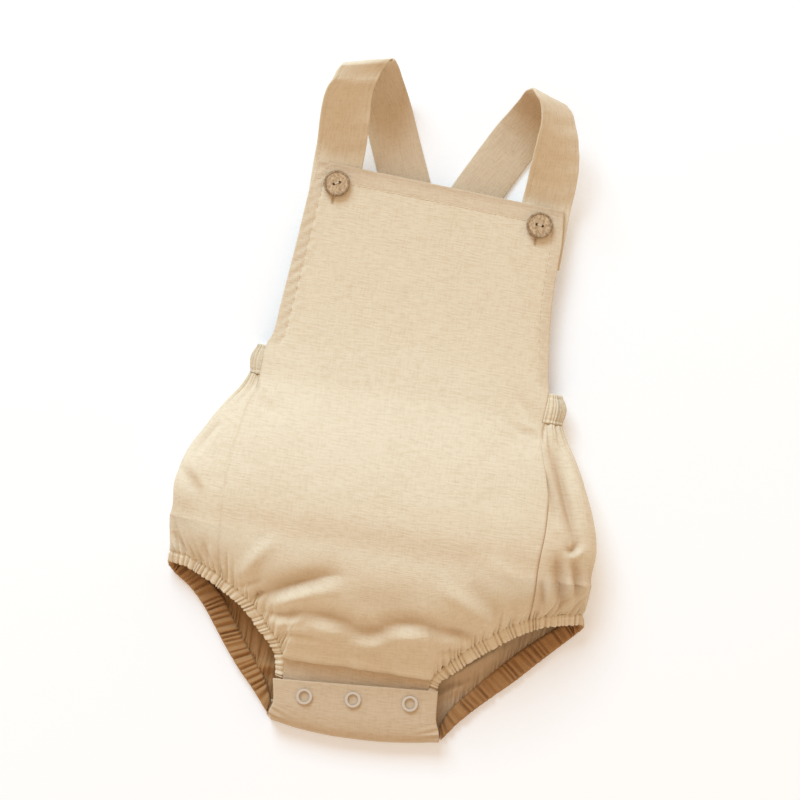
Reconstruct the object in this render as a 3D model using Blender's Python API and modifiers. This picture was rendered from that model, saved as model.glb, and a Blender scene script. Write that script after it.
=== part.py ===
"""Baby romper with a bib front, crossed shoulder straps and a snap crotch, lying flat on its back.

The garment lies with its front up: +Y runs up the garment towards the straps, +X is to the
right as one looks down on it, and Z is the height above the floor.  Every cloth piece is a
sheet whose outer face is worked out from the tables below and thickened inwards.
"""

import math

import bmesh
import bpy
from mathutils import Vector

MM = 0.001

# ---------------------------------------------------------------- driving sizes, millimetres
CLOTH = 1.6            # wall of one layer of worn cloth
CASING = 2.2           # wall of a folded casing with elastic in it
SEAM_GAP = 0.6         # clearance between two pieces at a seam
WAIST_TOP = 21.0       # where the bib's free sides end and the body tube starts
WAIST_FOOT = 3.0       # lower edge of the elastic waist casing
LAST_ROW = -88.0       # below this the rows bend towards the leg edges and the crotch
FRONT_CROTCH_SHARE = 10 / 28  # share of the front's width taken by each leg edge
BACK_CROTCH_SHARE = 14 / 36  # share of the back's girth taken by each leg edge
SIDE_SHARE = 3 / 36    # share of the back's girth from a seam to the widest point
BEND_SHARE = 7 / 36    # share of the back's girth from a seam to the floor
SEAM_TURN = 0.40       # where the side seam meets a leg casing, along the casing
PLACKET_TURN = 0.07    # where the placket seam meets a leg casing, along the casing
BACK_CROTCH_Y = -187.7
UNDER_BEND = 12.0      # radius of the rounded side where it meets the floor
STRAP_WIDTH = 29.5
BUTTON_DIAMETER = 14.4
BUTTON_THICKNESS = 2.6
BUTTON_HOLE = 1.7
BUTTON_HOLE_SPACING = 3.6
RING_OUTER = 9.9
RING_INNER = 6.0
RING_HEIGHT = 1.2
SOCKET_DIAMETER = 8.4
SOCKET_HEIGHT = 1.5
SNAP_FACE = 12.65       # height of the flap's face under the rings
SOCKET_SEAT = 8.8       # height of the closed sockets' lower face, above the placket

# Body sections from the bib's top to the hips: outline, side seams, height of the crown and
# height of the widest point.
SECTION_COLUMNS = ("y", "left", "right", "seam_left", "seam_right", "crown", "side")
SECTIONS = (
    (134.0, -95.0, 92.0, -76.0, 73.6, 12.6, 11.5),
    (110.0, -95.0, 92.0, -78.5, 75.7, 12.5, 11.0),
    (90.0, -92.0, 88.0, -79.9, 75.6, 12.6, 10.0),
    (68.0, -90.0, 85.5, -81.7, 76.6, 13.2, 9.0),
    (45.0, -90.0, 86.0, -83.6, 79.2, 14.6, 9.0),
    (30.0, -90.5, 88.0, -84.7, 81.2, 16.4, 9.2),
    (21.0, -92.5, 91.0, -87.4, 82.6, 18.0, 9.4),
    (12.0, -95.2, 94.6, -88.2, 82.2, 19.8, 9.6),
    (3.0, -94.6, 94.2, -88.2, 81.8, 22.0, 10.0),
    (-4.0, -97.5, 97.5, -87.6, 82.2, 25.0, 10.6),
    (-15.0, -105.0, 104.4, -92.2, 84.5, 30.0, 12.0),
    (-30.0, -114.2, 112.4, -94.2, 89.0, 36.5, 14.0),
    (-45.0, -122.0, 119.4, -96.3, 92.4, 41.5, 15.0),
    (-60.0, -126.4, 124.8, -96.6, 93.2, 45.0, 16.0),
    (-75.0, -128.4, 127.8, -96.3, 92.6, 46.5, 16.0),
    (-88.0, -128.7, 129.0, -95.6, 92.9, 46.0, 15.5),
)

# Leg casings from the crotch front, up over the seam and the side, to the crotch back:
# the seam line to the panels, then the free edge.
LEG_COLUMNS = ("turn", "x", "y", "z", "edge_x", "edge_y", "edge_z")
LEG_LEFT = (
    (0.000, -44.6, -173.0, 8.6, -49.6, -172.0, 8.0),
    (0.070, -46.8, -160.0, 11.0, -52.0, -161.0, 9.0),
    (0.120, -51.0, -151.5, 14.5, -56.9, -153.5, 12.0),
    (0.180, -58.5, -143.4, 17.5, -64.4, -146.5, 14.5),
    (0.230, -64.9, -135.5, 19.5, -71.2, -139.0, 16.5),
    (0.290, -71.5, -129.6, 21.0, -77.5, -133.8, 17.5),
    (0.340, -80.3, -124.3, 21.5, -85.0, -129.6, 18.0),
    (0.400, -92.6, -118.0, 20.0, -95.0, -124.2, 17.0),
    (0.445, -100.3, -114.2, 19.0, -103.2, -120.6, 16.0),
    (0.500, -114.0, -109.9, 16.0, -114.6, -116.8, 13.5),
    (0.550, -123.4, -109.2, 12.0, -122.6, -116.2, 10.5),
    (0.625, -123.8, -111.8, 4.5, -124.0, -118.6, 5.0),
    (0.700, -114.5, -114.8, 0.0, -119.5, -122.5, 0.0),
    (0.750, -101.5, -121.5, 0.0, -109.2, -129.2, 0.0),
    (0.805, -88.9, -131.4, 0.0, -99.4, -138.6, 0.0),
    (0.850, -79.4, -144.0, 0.0, -91.0, -149.2, 0.0),
    (0.895, -70.8, -156.2, 0.0, -81.9, -161.0, 0.0),
    (0.940, -61.6, -167.6, 0.0, -71.2, -173.6, 0.0),
    (0.975, -54.5, -177.5, 0.0, -61.6, -183.4, 0.0),
    (1.000, -49.7, -187.7, 0.0, -51.0, -195.6, 0.0),
)
LEG_RIGHT = (
    (0.000, 41.6, -172.0, 8.6, 46.6, -171.0, 8.0),
    (0.070, 42.8, -159.0, 11.0, 48.2, -161.0, 9.0),
    (0.120, 49.5, -149.8, 14.5, 54.2, -154.6, 12.0),
    (0.180, 57.2, -140.8, 17.5, 61.7, -147.0, 14.5),
    (0.230, 63.3, -134.6, 19.5, 68.6, -140.6, 16.5),
    (0.290, 72.0, -127.2, 21.0, 76.4, -134.0, 17.5),
    (0.340, 79.5, -120.9, 21.5, 84.3, -127.8, 18.0),
    (0.400, 93.8, -113.2, 20.0, 95.8, -120.6, 17.0),
    (0.445, 102.4, -110.1, 19.0, 103.4, -117.0, 16.0),
    (0.500, 114.2, -107.4, 16.0, 115.3, -114.2, 13.5),
    (0.550, 124.4, -105.4, 12.0, 125.2, -112.2, 10.5),
    (0.625, 126.0, -108.0, 4.5, 127.4, -114.8, 5.0),
    (0.700, 116.5, -112.8, 0.0, 122.6, -120.0, 0.0),
    (0.750, 104.5, -123.0, 0.0, 112.6, -130.6, 0.0),
    (0.805, 92.8, -134.0, 0.0, 102.4, -141.6, 0.0),
    (0.850, 82.9, -144.6, 0.0, 92.4, -152.6, 0.0),
    (0.895, 72.8, -156.3, 0.0, 81.4, -163.4, 0.0),
    (0.940, 63.2, -167.6, 0.0, 71.4, -173.6, 0.0),
    (0.975, 56.4, -176.6, 0.0, 63.4, -182.6, 0.0),
    (1.000, 52.4, -187.7, 0.0, 54.6, -195.0, 0.0),
)

# Largest folds of the front: a line in plan, its depth (a negative one is a ridge), its width.
FOLD_COLUMNS = ("x0", "y0", "x1", "y1", "depth", "width")
FOLDS = (
    (-68.0, -127.0, -44.0, -112.5, 4.0, 5.0),
    (-44.0, -112.5, -14.0, -98.0, 2.4, 6.0),
    (-66.0, -133.0, -36.0, -119.0, -1.4, 4.0),
    (-58.0, -139.0, -17.0, -131.0, 3.2, 5.0),
    (-17.0, -131.0, 6.0, -135.0, 4.0, 5.5),
    (6.0, -135.0, 44.0, -123.0, 3.4, 5.5),
    (44.0, -123.0, 74.0, -124.0, 2.2, 5.0),
    (-30.0, -143.0, 40.0, -136.0, -1.8, 5.0),
    (45.0, -88.0, 80.0, -122.0, -1.8, 6.0),
    (-96.0, -112.0, -66.0, -88.0, -1.8, 6.0),
    (-40.0, -152.0, 38.0, -148.0, 1.4, 4.0),
    (84.0, -2.0, 56.0, 16.0, 1.8, 6.0),
    (94.0, -12.0, 108.0, -66.0, 1.6, 5.0),
    (-117.0, -58.0, -110.0, -74.0, 1.8, 5.0),
)

# Fold line of the crotch, and the flap's path from under the garment to its top edge:
# reach runs from 0 at the fold to 1 at the top edge, lift is the height.
CROTCH_COLUMNS = ("x", "y")
CROTCH_FOLD = ((-50.0, -199.0), (-30.0, -202.0), (-10.0, -202.9), (10.0, -202.2), (31.0, -200.0),
               (54.0, -196.0))
FLAP_COLUMNS = ("along", "reach", "lift", "left", "right")
FLAP = (
    (0.00, -1.00, 0.0, -49.2, 51.9),
    (0.22, -0.20, 0.0, -50.0, 53.0),
    (0.34, -0.05, 1.4, -48.2, 53.0),
    (0.42, 0.00, 4.4, -47.2, 53.0),
    (0.50, 0.05, 8.2, -47.6, 53.4),
    (0.60, 0.20, 11.2, -49.6, 52.6),
    (0.74, 0.46, 12.4, -48.0, 49.6),
    (1.00, 1.00, 12.7, -50.4, 47.8),
)
FLAP_TOP_LEFT = -173.8
FLAP_TOP_RIGHT = -164.9

# Straps from the end behind the bib, up over the shoulder loop, to the end on the back waist:
# middle of the outer face, heading of the width in plan, its tip out of the level.
STRAP_COLUMNS = ("along", "x", "y", "z", "heading", "tip")
STRAP_LEFT = (
    (0.00, -63.6, 96.0, 9.4, 0.0, 0.0),
    (0.09, -63.6, 118.0, 9.6, 0.0, 0.0),
    (0.16, -63.7, 134.0, 10.0, 0.0, 0.0),
    (0.22, -63.4, 146.8, 15.0, 0.4, 0.0),
    (0.29, -63.6, 159.8, 24.0, 3.4, 8.0),
    (0.36, -63.2, 172.2, 33.0, 9.0, 22.0),
    (0.42, -60.4, 182.8, 37.6, 13.4, 28.0),
    (0.46, -57.4, 190.9, 37.6, 14.6, 22.0),
    (0.50, -55.2, 194.8, 33.6, 16.0, 9.0),
    (0.54, -52.0, 191.6, 25.0, 19.0, 2.0),
    (0.58, -48.0, 185.1, 14.5, 23.0, 0.0),
    (0.62, -43.9, 178.0, 6.5, 25.0, 0.0),
    (0.66, -39.2, 168.9, 1.6, 25.8, 0.0),
    (0.71, -34.2, 157.4, 0.0, 25.8, 0.0),
    (0.80, -20.7, 126.9, 0.0, 25.8, 0.0),
    (0.94, 17.6, 47.6, 0.0, 25.8, 0.0),
    (0.97, 25.6, 31.0, 2.9, 25.8, 0.0),
    (1.00, 34.4, 12.8, 2.9, 25.8, 0.0),
)
STRAP_RIGHT = (
    (0.00, 62.3, 94.0, 9.3, 0.0, 0.0),
    (0.09, 62.5, 114.0, 9.5, 0.0, 0.0),
    (0.16, 62.8, 130.0, 10.0, -1.0, 0.0),
    (0.22, 63.5, 142.9, 14.6, -1.0, 4.0),
    (0.29, 63.6, 157.1, 23.0, -1.4, 18.0),
    (0.36, 62.6, 169.3, 29.5, -1.4, 33.0),
    (0.42, 60.8, 180.3, 33.0, -1.8, 44.0),
    (0.46, 57.0, 188.1, 34.0, -4.0, 46.0),
    (0.50, 52.6, 191.6, 31.5, -11.0, 42.0),
    (0.54, 51.2, 189.2, 25.0, -21.0, 28.0),
    (0.58, 49.6, 184.6, 16.0, -28.0, 14.0),
    (0.62, 45.2, 177.0, 7.5, -30.0, 5.0),
    (0.66, 39.2, 167.8, 1.9, -30.0, 0.0),
    (0.71, 33.0, 156.3, 0.0, -29.5, 0.0),
    (0.77, 21.8, 134.0, 0.3, -29.0, 0.0),
    (0.81, 14.0, 118.2, 2.3, -29.0, 0.0),
    (0.89, -14.0, 67.8, 2.3, -29.0, 0.0),
    (0.94, -26.4, 45.4, 0.3, -29.0, 0.0),
    (0.97, -34.4, 31.0, 2.9, -29.0, 0.0),
    (1.00, -44.6, 12.6, 2.9, -29.0, 0.0),
)

BUTTON_COLUMNS = ("name", "x", "y", "spin")
BUTTONS = (("button_left", -62.3, 122.4, 26.0), ("button_right", 60.5, 118.1, -8.0))
SNAP_COLUMNS = ("x", "y")
SNAPS = ((-30.2, -181.0), (-1.4, -178.0), (32.4, -174.7))

LINEN = (0.79, 0.66, 0.46)
LINEN_INSIDE = (0.56, 0.36, 0.19)
WOOD = (0.37, 0.24, 0.13)
STEEL = (0.62, 0.60, 0.57)


# ---------------------------------------------------------------- reading the tables
def column(rows, names, name):
    index = names.index(name)
    return [row[index] for row in rows]


def glide(knots, values, at):
    """Smooth value between table rows that never overshoots them."""
    sign = 1.0 if knots[-1] > knots[0] else -1.0
    knots = [sign * knot for knot in knots]
    at = min(max(sign * at, knots[0]), knots[-1])
    last = len(knots) - 1
    i = 0
    while i < last - 1 and at > knots[i + 1]:
        i += 1

    def rise(k):
        return (values[k + 1] - values[k]) / (knots[k + 1] - knots[k])

    def slope(k):
        if k == 0:
            return rise(0)
        if k == last:
            return rise(last - 1)
        before, after = rise(k - 1), rise(k)
        if before * after <= 0.0:
            return 0.0
        return 2.0 * before * after / (before + after)

    step = knots[i + 1] - knots[i]
    u = (at - knots[i]) / step
    return (values[i] * (1 + 2 * u) * (1 - u) ** 2 + values[i + 1] * u * u * (3 - 2 * u)
            + step * (slope(i) * u * (1 - u) ** 2 + slope(i + 1) * u * u * (u - 1)))


def read(rows, names, name, at):
    return glide(column(rows, names, names[0]), column(rows, names, name), at)


def mix(a, b, share):
    return a + (b - a) * share


# ---------------------------------------------------------------- the body's outer face
def bulge(u):
    return max(0.0, 1.0 - abs(u) ** 2.4) ** 0.5


def section(y):
    return {name: read(SECTIONS, SECTION_COLUMNS, name, y) for name in SECTION_COLUMNS[1:]}


def top_height(cut, x):
    middle = 0.5 * (cut["left"] + cut["right"])
    half = 0.5 * (cut["right"] - cut["left"])
    return cut["side"] + (cut["crown"] - cut["side"]) * bulge((x - middle) / half)


def leg_point(rows, turn, free):
    prefix = "edge_" if free else ""
    return tuple(read(rows, LEG_COLUMNS, prefix + axis, turn) for axis in "xyz")


def seam_point(rows, turn):
    """The seam line as the panels' straight cell edges follow it."""
    stops = [0.0, PLACKET_TURN]
    stops += [mix(PLACKET_TURN, SEAM_TURN, i / 10) for i in range(1, 11)]
    stops += [mix(SEAM_TURN, 1.0, i / 14) for i in range(1, 15)]
    turn = min(max(turn, 0.0), 1.0)
    low = max(i for i, stop in enumerate(stops[:-1]) if stop <= turn + 1e-9)
    part = (turn - stops[low]) / (stops[low + 1] - stops[low])
    start, end = leg_point(rows, stops[low], False), leg_point(rows, stops[low + 1], False)
    return tuple(mix(a, b, part) for a, b in zip(start, end))


def front_edge(share):
    """Lower edge of the front: left leg, placket seam, right leg."""
    if share < FRONT_CROTCH_SHARE:
        turn = mix(SEAM_TURN, PLACKET_TURN, share / FRONT_CROTCH_SHARE)
        return leg_point(LEG_LEFT, turn, False)
    if share > 1.0 - FRONT_CROTCH_SHARE:
        turn = mix(SEAM_TURN, PLACKET_TURN, (1.0 - share) / FRONT_CROTCH_SHARE)
        return leg_point(LEG_RIGHT, turn, False)
    start = leg_point(LEG_LEFT, PLACKET_TURN, False)
    end = leg_point(LEG_RIGHT, PLACKET_TURN, False)
    part = (share - FRONT_CROTCH_SHARE) / (1.0 - 2.0 * FRONT_CROTCH_SHARE)
    return tuple(mix(a, b, part) for a, b in zip(start, end))


def back_edge(share):
    """Lower edge of the back: left side, left leg, crotch, right leg, right side."""
    if share < BACK_CROTCH_SHARE:
        return leg_point(LEG_LEFT, mix(SEAM_TURN, 1.0, share / BACK_CROTCH_SHARE), False)
    if share > 1.0 - BACK_CROTCH_SHARE:
        return leg_point(LEG_RIGHT, mix(SEAM_TURN, 1.0, (1.0 - share) / BACK_CROTCH_SHARE), False)
    part = (share - BACK_CROTCH_SHARE) / (1.0 - 2.0 * BACK_CROTCH_SHARE)
    start = leg_point(LEG_LEFT, 1.0, False)
    end = leg_point(LEG_RIGHT, 1.0, False)
    return (mix(start[0], end[0], part), BACK_CROTCH_Y, 0.0)


def fold_depth(x, y):
    depth = 0.0
    for row in FOLDS:
        fold = dict(zip(FOLD_COLUMNS, row))
        run_x, run_y = fold["x1"] - fold["x0"], fold["y1"] - fold["y0"]
        length = math.hypot(run_x, run_y)
        along = ((x - fold["x0"]) * run_x + (y - fold["y0"]) * run_y) / length
        past = max(0.0, -along, along - length)
        aside = ((x - fold["x0"]) * run_y - (y - fold["y0"]) * run_x) / length
        reach = (aside / fold["width"]) ** 2 + (past / (1.6 * fold["width"])) ** 2
        depth += fold["depth"] * math.exp(-reach)
    return depth


def edge_pull(share_down, turn_phase):
    """Gathers that run up from a leg casing and die out."""
    return 0.7 * math.sin(turn_phase) * max(0.0, share_down - 0.45) ** 1.5


def front_point(share, y):
    """Outer face of the front panel; y under LAST_ROW runs on to the lower edge."""
    if y >= LAST_ROW:
        cut = section(y)
        x = mix(cut["seam_left"], cut["seam_right"], share)
        lean = max(0.0, y - WAIST_TOP) / (134.0 - WAIST_TOP)
        z = top_height(cut, x) - fold_depth(x, y)
        return (x, y - 0.037 * (x + 60.0) * lean, z)
    down = (LAST_ROW - y) / (LAST_ROW + 203.0)
    start = front_point(share, LAST_ROW)
    end = front_edge(share)
    x = mix(start[0], end[0], down)
    y = mix(start[1], end[1], down)
    fade = 1.0 - down ** 6
    z = mix(start[2], end[2], down ** 1.7) - fold_depth(x, y) * fade
    z += edge_pull(down, 2.0 * math.pi * 13.0 * share) * (abs(share - 0.5) > 0.14)
    return (x, y, z)


def back_row(share, cut):
    """One girth of the back piece at a section: seam, side, bend, floor and the same again."""
    flip = share > 0.5
    share = min(share, 1.0 - share)
    side, seam = ("right", "seam_right") if flip else ("left", "seam_left")
    outward = 1.0 if flip else -1.0
    middle = 0.5 * (cut["left"] + cut["right"])
    half = 0.5 * (cut["right"] - cut["left"])
    if share <= SIDE_SHARE:
        near = abs(cut[seam] - middle) / half
        reach = 1.0 - (1.0 - near) * (1.0 - share / SIDE_SHARE) ** 2
        x = middle + outward * half * reach
        return (x, top_height(cut, x))
    if share <= BEND_SHARE:
        angle = 0.5 * math.pi * (share - SIDE_SHARE) / (BEND_SHARE - SIDE_SHARE)
        return (cut[side] - outward * UNDER_BEND * (1.0 - math.cos(angle)),
                cut["side"] * (1.0 - math.sin(angle)))
    inner_left = cut["left"] + UNDER_BEND
    inner_right = cut["right"] - UNDER_BEND
    part = (share - BEND_SHARE) / (1.0 - 2.0 * BEND_SHARE)
    part = 1.0 - part if flip else part
    return (mix(inner_left, inner_right, part), 0.0)


def back_point(share, y):
    """Outer face of the back piece; y under LAST_ROW runs on to the lower edge."""
    if y >= LAST_ROW:
        x, z = back_row(share, section(y))
        under = min(share, 1.0 - share) >= BEND_SHARE
        return (x, y, 0.0 if under else max(0.0, z - fold_depth(x, y) * min(1.0, z / 20.0)))
    down = (LAST_ROW - y) / (LAST_ROW + 203.0)
    start = back_point(share, LAST_ROW)
    end = back_edge(share)
    x = mix(start[0], end[0], down)
    y = mix(start[1], end[1], down)
    if min(share, 1.0 - share) >= BEND_SHARE:
        return (x, y, 0.0)
    z = mix(start[2], end[2], down ** 1.7)
    return (x, y, max(0.0, z + edge_pull(down, 2.0 * math.pi * 28.0 * share) * min(1.0, z / 10.0)))


# ---------------------------------------------------------------- making the pieces
def clear_scene():
    for thing in list(bpy.data.objects):
        bpy.data.objects.remove(thing, do_unlink=True)


def collection(name):
    made = bpy.data.collections.new(name)
    bpy.context.scene.collection.children.link(made)
    return made


def material(name, colour, roughness, metallic=0.0):
    made = bpy.data.materials.new(name)
    made.use_nodes = True
    shader = made.node_tree.nodes["Principled BSDF"]
    shader.inputs["Base Color"].default_value = (*colour, 1.0)
    shader.inputs["Roughness"].default_value = roughness
    shader.inputs["Metallic"].default_value = metallic
    return made


def keep(thing, group, look):
    for other in list(thing.users_collection):
        other.objects.unlink(thing)
    group.objects.link(thing)
    thing.data.materials.clear()
    thing.data.materials.append(look)


def cloth_sheet(name, across, down, place, wall, group, look):
    """Grid of cells whose corners are moved onto place(i share, j share), then thickened in."""
    mesh = bpy.data.meshes.new(name)
    shape = bmesh.new()
    bmesh.ops.create_grid(shape, x_segments=across, y_segments=down, size=0.5)
    for corner in shape.verts:
        spot = place(corner.co.x + 0.5, 0.5 - corner.co.y)
        corner.co = tuple(MM * value for value in spot)
    bmesh.ops.recalc_face_normals(shape, faces=shape.faces)
    shape.to_mesh(mesh)
    shape.free()
    thing = bpy.data.objects.new(name, mesh)
    bpy.context.scene.collection.objects.link(thing)
    keep(thing, group, look)
    thicken(thing, wall)


def thicken(thing, wall):
    """Solidify inwards: the piece's highest cell shows its outer face, and it looks up."""
    mesh = thing.data
    highest = max(mesh.polygons, key=lambda face: face.center.z)
    if highest.normal.z < 0.0:
        mesh.flip_normals()
    inner = thing.modifiers.new("wall", "SOLIDIFY")
    inner.thickness = MM * wall
    inner.offset = -1.0
    inner.use_even_offset = True
    inner.use_quality_normals = True
    mesh.shade_smooth()


def row_at(rows, share):
    """Value between the listed row heights at an even share of their count."""
    place = share * (len(rows) - 1)
    low = min(int(place + 1e-6), len(rows) - 2)
    return mix(rows[low], rows[low + 1], place - low)


def even_rows(top, foot, count):
    return [mix(top, foot, i / count) for i in range(count + 1)]


BIB_ROWS = even_rows(134.0, 27.0, 6)
TUBE_ROWS = [WAIST_TOP, 12.0, WAIST_FOOT, -4.0, -11.0, -20.0, -32.0, -46.0, -60.0, -74.0]
FRONT_FOOT_ROWS = even_rows(LAST_ROW, -203.0, 11)
BACK_FOOT_ROWS = even_rows(LAST_ROW, -203.0, 8)


def front_panel(group, look):
    rows = BIB_ROWS + TUBE_ROWS + FRONT_FOOT_ROWS
    columns = 28

    def place(i, j):
        y = row_at(rows, j)
        inner = 0.8 * SEAM_GAP / 175.0
        share = mix(inner, 1.0 - inner, i)
        x, y, z = front_point(share, y)
        if j > 0.999:
            y += SEAM_GAP * 0.5
        return (x, y, z)

    cloth_sheet("front_panel", columns, len(rows) - 1, place, CLOTH, group, look)


def back_place(i, y):
    inset = 0.5 * SEAM_GAP / 500.0
    return back_point(mix(inset, 1.0 - inset, i), y)


def back_panel(group, look):
    rows = [WAIST_FOOT - SEAM_GAP] + [row for row in TUBE_ROWS if row < WAIST_FOOT] + BACK_FOOT_ROWS
    cloth_sheet("back_panel", 36, len(rows) - 1, lambda i, j: back_place(i, row_at(rows, j)),
                CLOTH, group, look)


def waist_casing(group, look):
    def place(i, j):
        return back_place(i, mix(WAIST_TOP, WAIST_FOOT, j))

    cloth_sheet("waist_casing", 36, 2, place, CASING, group, look)


def leg_casing(name, rows, group, look):
    def place(i, j):
        seam = Vector(seam_point(rows, i))
        free = Vector(leg_point(rows, i, True))
        run = Vector(seam_point(rows, i + 0.01)) - Vector(seam_point(rows, i - 0.01))
        run.normalize()
        aside = free - seam
        aside -= aside.dot(run) * run
        x, y, z = mix(seam + SEAM_GAP * aside.normalized(), free, j)
        ripple = 0.4 * math.sin(2.0 * math.pi * 20.0 * i)
        if z > 3.0:
            z += ripple * min(1.0, (z - 3.0) / 4.0)
        return (x, y, z)

    cloth_sheet(name, 60, 1, place, CASING, group, look)


def front_placket(group, look):
    def place(i, j):
        turn = max(0.0, PLACKET_TURN * (1.0 - j * 33.0 / 13.0))
        left = leg_point(LEG_LEFT, turn, False)
        right = leg_point(LEG_RIGHT, turn, False)
        x = mix(left[0] + SEAM_GAP, right[0] - SEAM_GAP, i)
        top = mix(leg_point(LEG_LEFT, PLACKET_TURN, False)[1],
                  leg_point(LEG_RIGHT, PLACKET_TURN, False)[1], i)
        y = mix(top - SEAM_GAP, -192.5, j)
        return (x, y, glide([0.0, 0.25, 0.45, 1.0], [11.0, 8.6, 8.2, 7.4], j))

    cloth_sheet("front_placket", 10, 4, place, CLOTH, group, look)


def crotch_flap(group, look):
    def place(i, j):
        left = read(FLAP, FLAP_COLUMNS, "left", j)
        right = read(FLAP, FLAP_COLUMNS, "right", j)
        reach = read(FLAP, FLAP_COLUMNS, "reach", j)
        lift = read(FLAP, FLAP_COLUMNS, "lift", j)
        x = mix(left, right, i)
        fold = glide(column(CROTCH_FOLD, CROTCH_COLUMNS, "x"),
                     column(CROTCH_FOLD, CROTCH_COLUMNS, "y"), x)
        top = mix(FLAP_TOP_LEFT, FLAP_TOP_RIGHT, i)
        if reach < 0.0:
            y = mix(fold, BACK_CROTCH_Y - SEAM_GAP, -reach)
        else:
            y = mix(fold, top, reach)
        return (x, y, lift)

    cloth_sheet("crotch_flap", 12, 10, place, CLOTH, group, look)


def strap(name, rows, group, look):
    def place(i, j):
        x, y, z, heading, tip = (read(rows, STRAP_COLUMNS, key, j) for key in STRAP_COLUMNS[1:])
        aside = (i - 0.5) * STRAP_WIDTH
        heading, tip = math.radians(heading), math.radians(tip)
        level = aside * math.cos(tip)
        return (x + level * math.cos(heading), y + level * math.sin(heading),
                z - aside * math.sin(tip))

    cloth_sheet(name, 2, 32, place, CLOTH, group, look)


def button(name, x, y, spin, group, cutters, look):
    bpy.ops.mesh.primitive_cylinder_add(vertices=48, radius=MM * BUTTON_DIAMETER / 2,
                                        depth=MM * BUTTON_THICKNESS)
    thing = bpy.context.object
    thing.name = thing.data.name = name
    rest = top_height(section(y), x) + 0.55 + BUTTON_THICKNESS / 2
    keep(thing, group, look)
    rim = thing.modifiers.new("rounded_rim", "BEVEL")
    rim.width = MM * 0.7
    rim.segments = 3
    rim.limit_method = "ANGLE"
    for side in (-0.5, 0.5):
        bpy.ops.mesh.primitive_cylinder_add(vertices=16, radius=MM * BUTTON_HOLE / 2,
                                            depth=MM * 3 * BUTTON_THICKNESS,
                                            location=(MM * side * BUTTON_HOLE_SPACING, 0.0, 0.0))
        drill = bpy.context.object
        drill.name = name + "_hole_" + ("a" if side < 0 else "b")
        drill.hide_render = True
        drill.display_type = "WIRE"
        for other in list(drill.users_collection):
            other.objects.unlink(drill)
        cutters.objects.link(drill)
        drill.parent = thing
        cut = thing.modifiers.new("hole", "BOOLEAN")
        cut.operation = "DIFFERENCE"
        cut.object = drill
        cut.solver = "EXACT"
    thing.location = (MM * x, MM * y, MM * rest)
    thing.rotation_euler = (0.0, 0.0, math.radians(spin))


def snap(index, x, y, group, steel):
    tube = (RING_OUTER - RING_INNER) / 4
    bpy.ops.mesh.primitive_torus_add(major_radius=MM * (RING_OUTER / 2 - tube),
                                     minor_radius=MM * tube, major_segments=32, minor_segments=8)
    ring = bpy.context.object
    ring.name = ring.data.name = "snap_ring_%d" % index
    ring.scale = (1.0, 1.0, RING_HEIGHT / (2 * tube))
    bpy.ops.object.transform_apply(location=False, rotation=False, scale=True)
    ring.location = (MM * x, MM * y, MM * (SNAP_FACE + 0.4 + RING_HEIGHT / 2))
    keep(ring, group, steel)
    ring.data.shade_smooth()
    bpy.ops.mesh.primitive_cylinder_add(vertices=24, radius=MM * SOCKET_DIAMETER / 2,
                                        depth=MM * SOCKET_HEIGHT)
    socket = bpy.context.object
    socket.name = socket.data.name = "snap_socket_%d" % index
    socket.location = (MM * x, MM * y, MM * (SOCKET_SEAT + SOCKET_HEIGHT / 2))
    keep(socket, group, steel)


def build():
    clear_scene()
    romper = collection("baby_romper")
    cutters = collection("cutters")
    linen = material("linen", LINEN, 0.9)
    inside = material("linen_band", LINEN_INSIDE, 0.9)
    wood = material("wood", WOOD, 0.6)
    steel = material("steel", STEEL, 0.3, 1.0)
    front_panel(romper, linen)
    back_panel(romper, linen)
    waist_casing(romper, linen)
    for name, rows in (("leg_casing_left", LEG_LEFT), ("leg_casing_right", LEG_RIGHT)):
        leg_casing(name, rows, romper, linen)
    front_placket(romper, inside)
    crotch_flap(romper, linen)
    for name, rows in (("strap_left", STRAP_LEFT), ("strap_right", STRAP_RIGHT)):
        strap(name, rows, romper, linen)
    for row in BUTTONS:
        made = dict(zip(BUTTON_COLUMNS, row))
        button(made["name"], made["x"], made["y"], made["spin"], romper, cutters, wood)
    for index, (x, y) in enumerate(SNAPS, start=1):
        snap(index, x, y, romper, steel)


build()
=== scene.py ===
"""Baby romper laid flat on its back, in cream linen, its straps looped up at the shoulders.

Every cloth piece is a sheet bent over the same form as its solid in the frame.  Lengths in the
tables are millimetres: +Y runs up the garment, +X to the right, Z up from the surface.
"""

import math
from collections import namedtuple

import bmesh
import bpy
import numpy as np
from mathutils import Matrix, Vector


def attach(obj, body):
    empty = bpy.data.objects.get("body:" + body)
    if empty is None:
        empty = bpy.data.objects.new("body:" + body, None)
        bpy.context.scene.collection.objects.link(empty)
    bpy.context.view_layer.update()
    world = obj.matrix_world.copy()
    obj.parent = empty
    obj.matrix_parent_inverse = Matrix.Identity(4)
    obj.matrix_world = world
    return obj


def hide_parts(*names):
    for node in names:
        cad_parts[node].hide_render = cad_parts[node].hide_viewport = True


bl_info = {
    "name": "Baby Romper",
    "version": (1, 0, 0),
    "blender": (4, 5, 0),
    "location": "View3D > Sidebar > Romper",
    "description": "Builds a bib-front baby romper in cream linen, its trims and a studio for it",
    "category": "Object",
}

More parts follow.
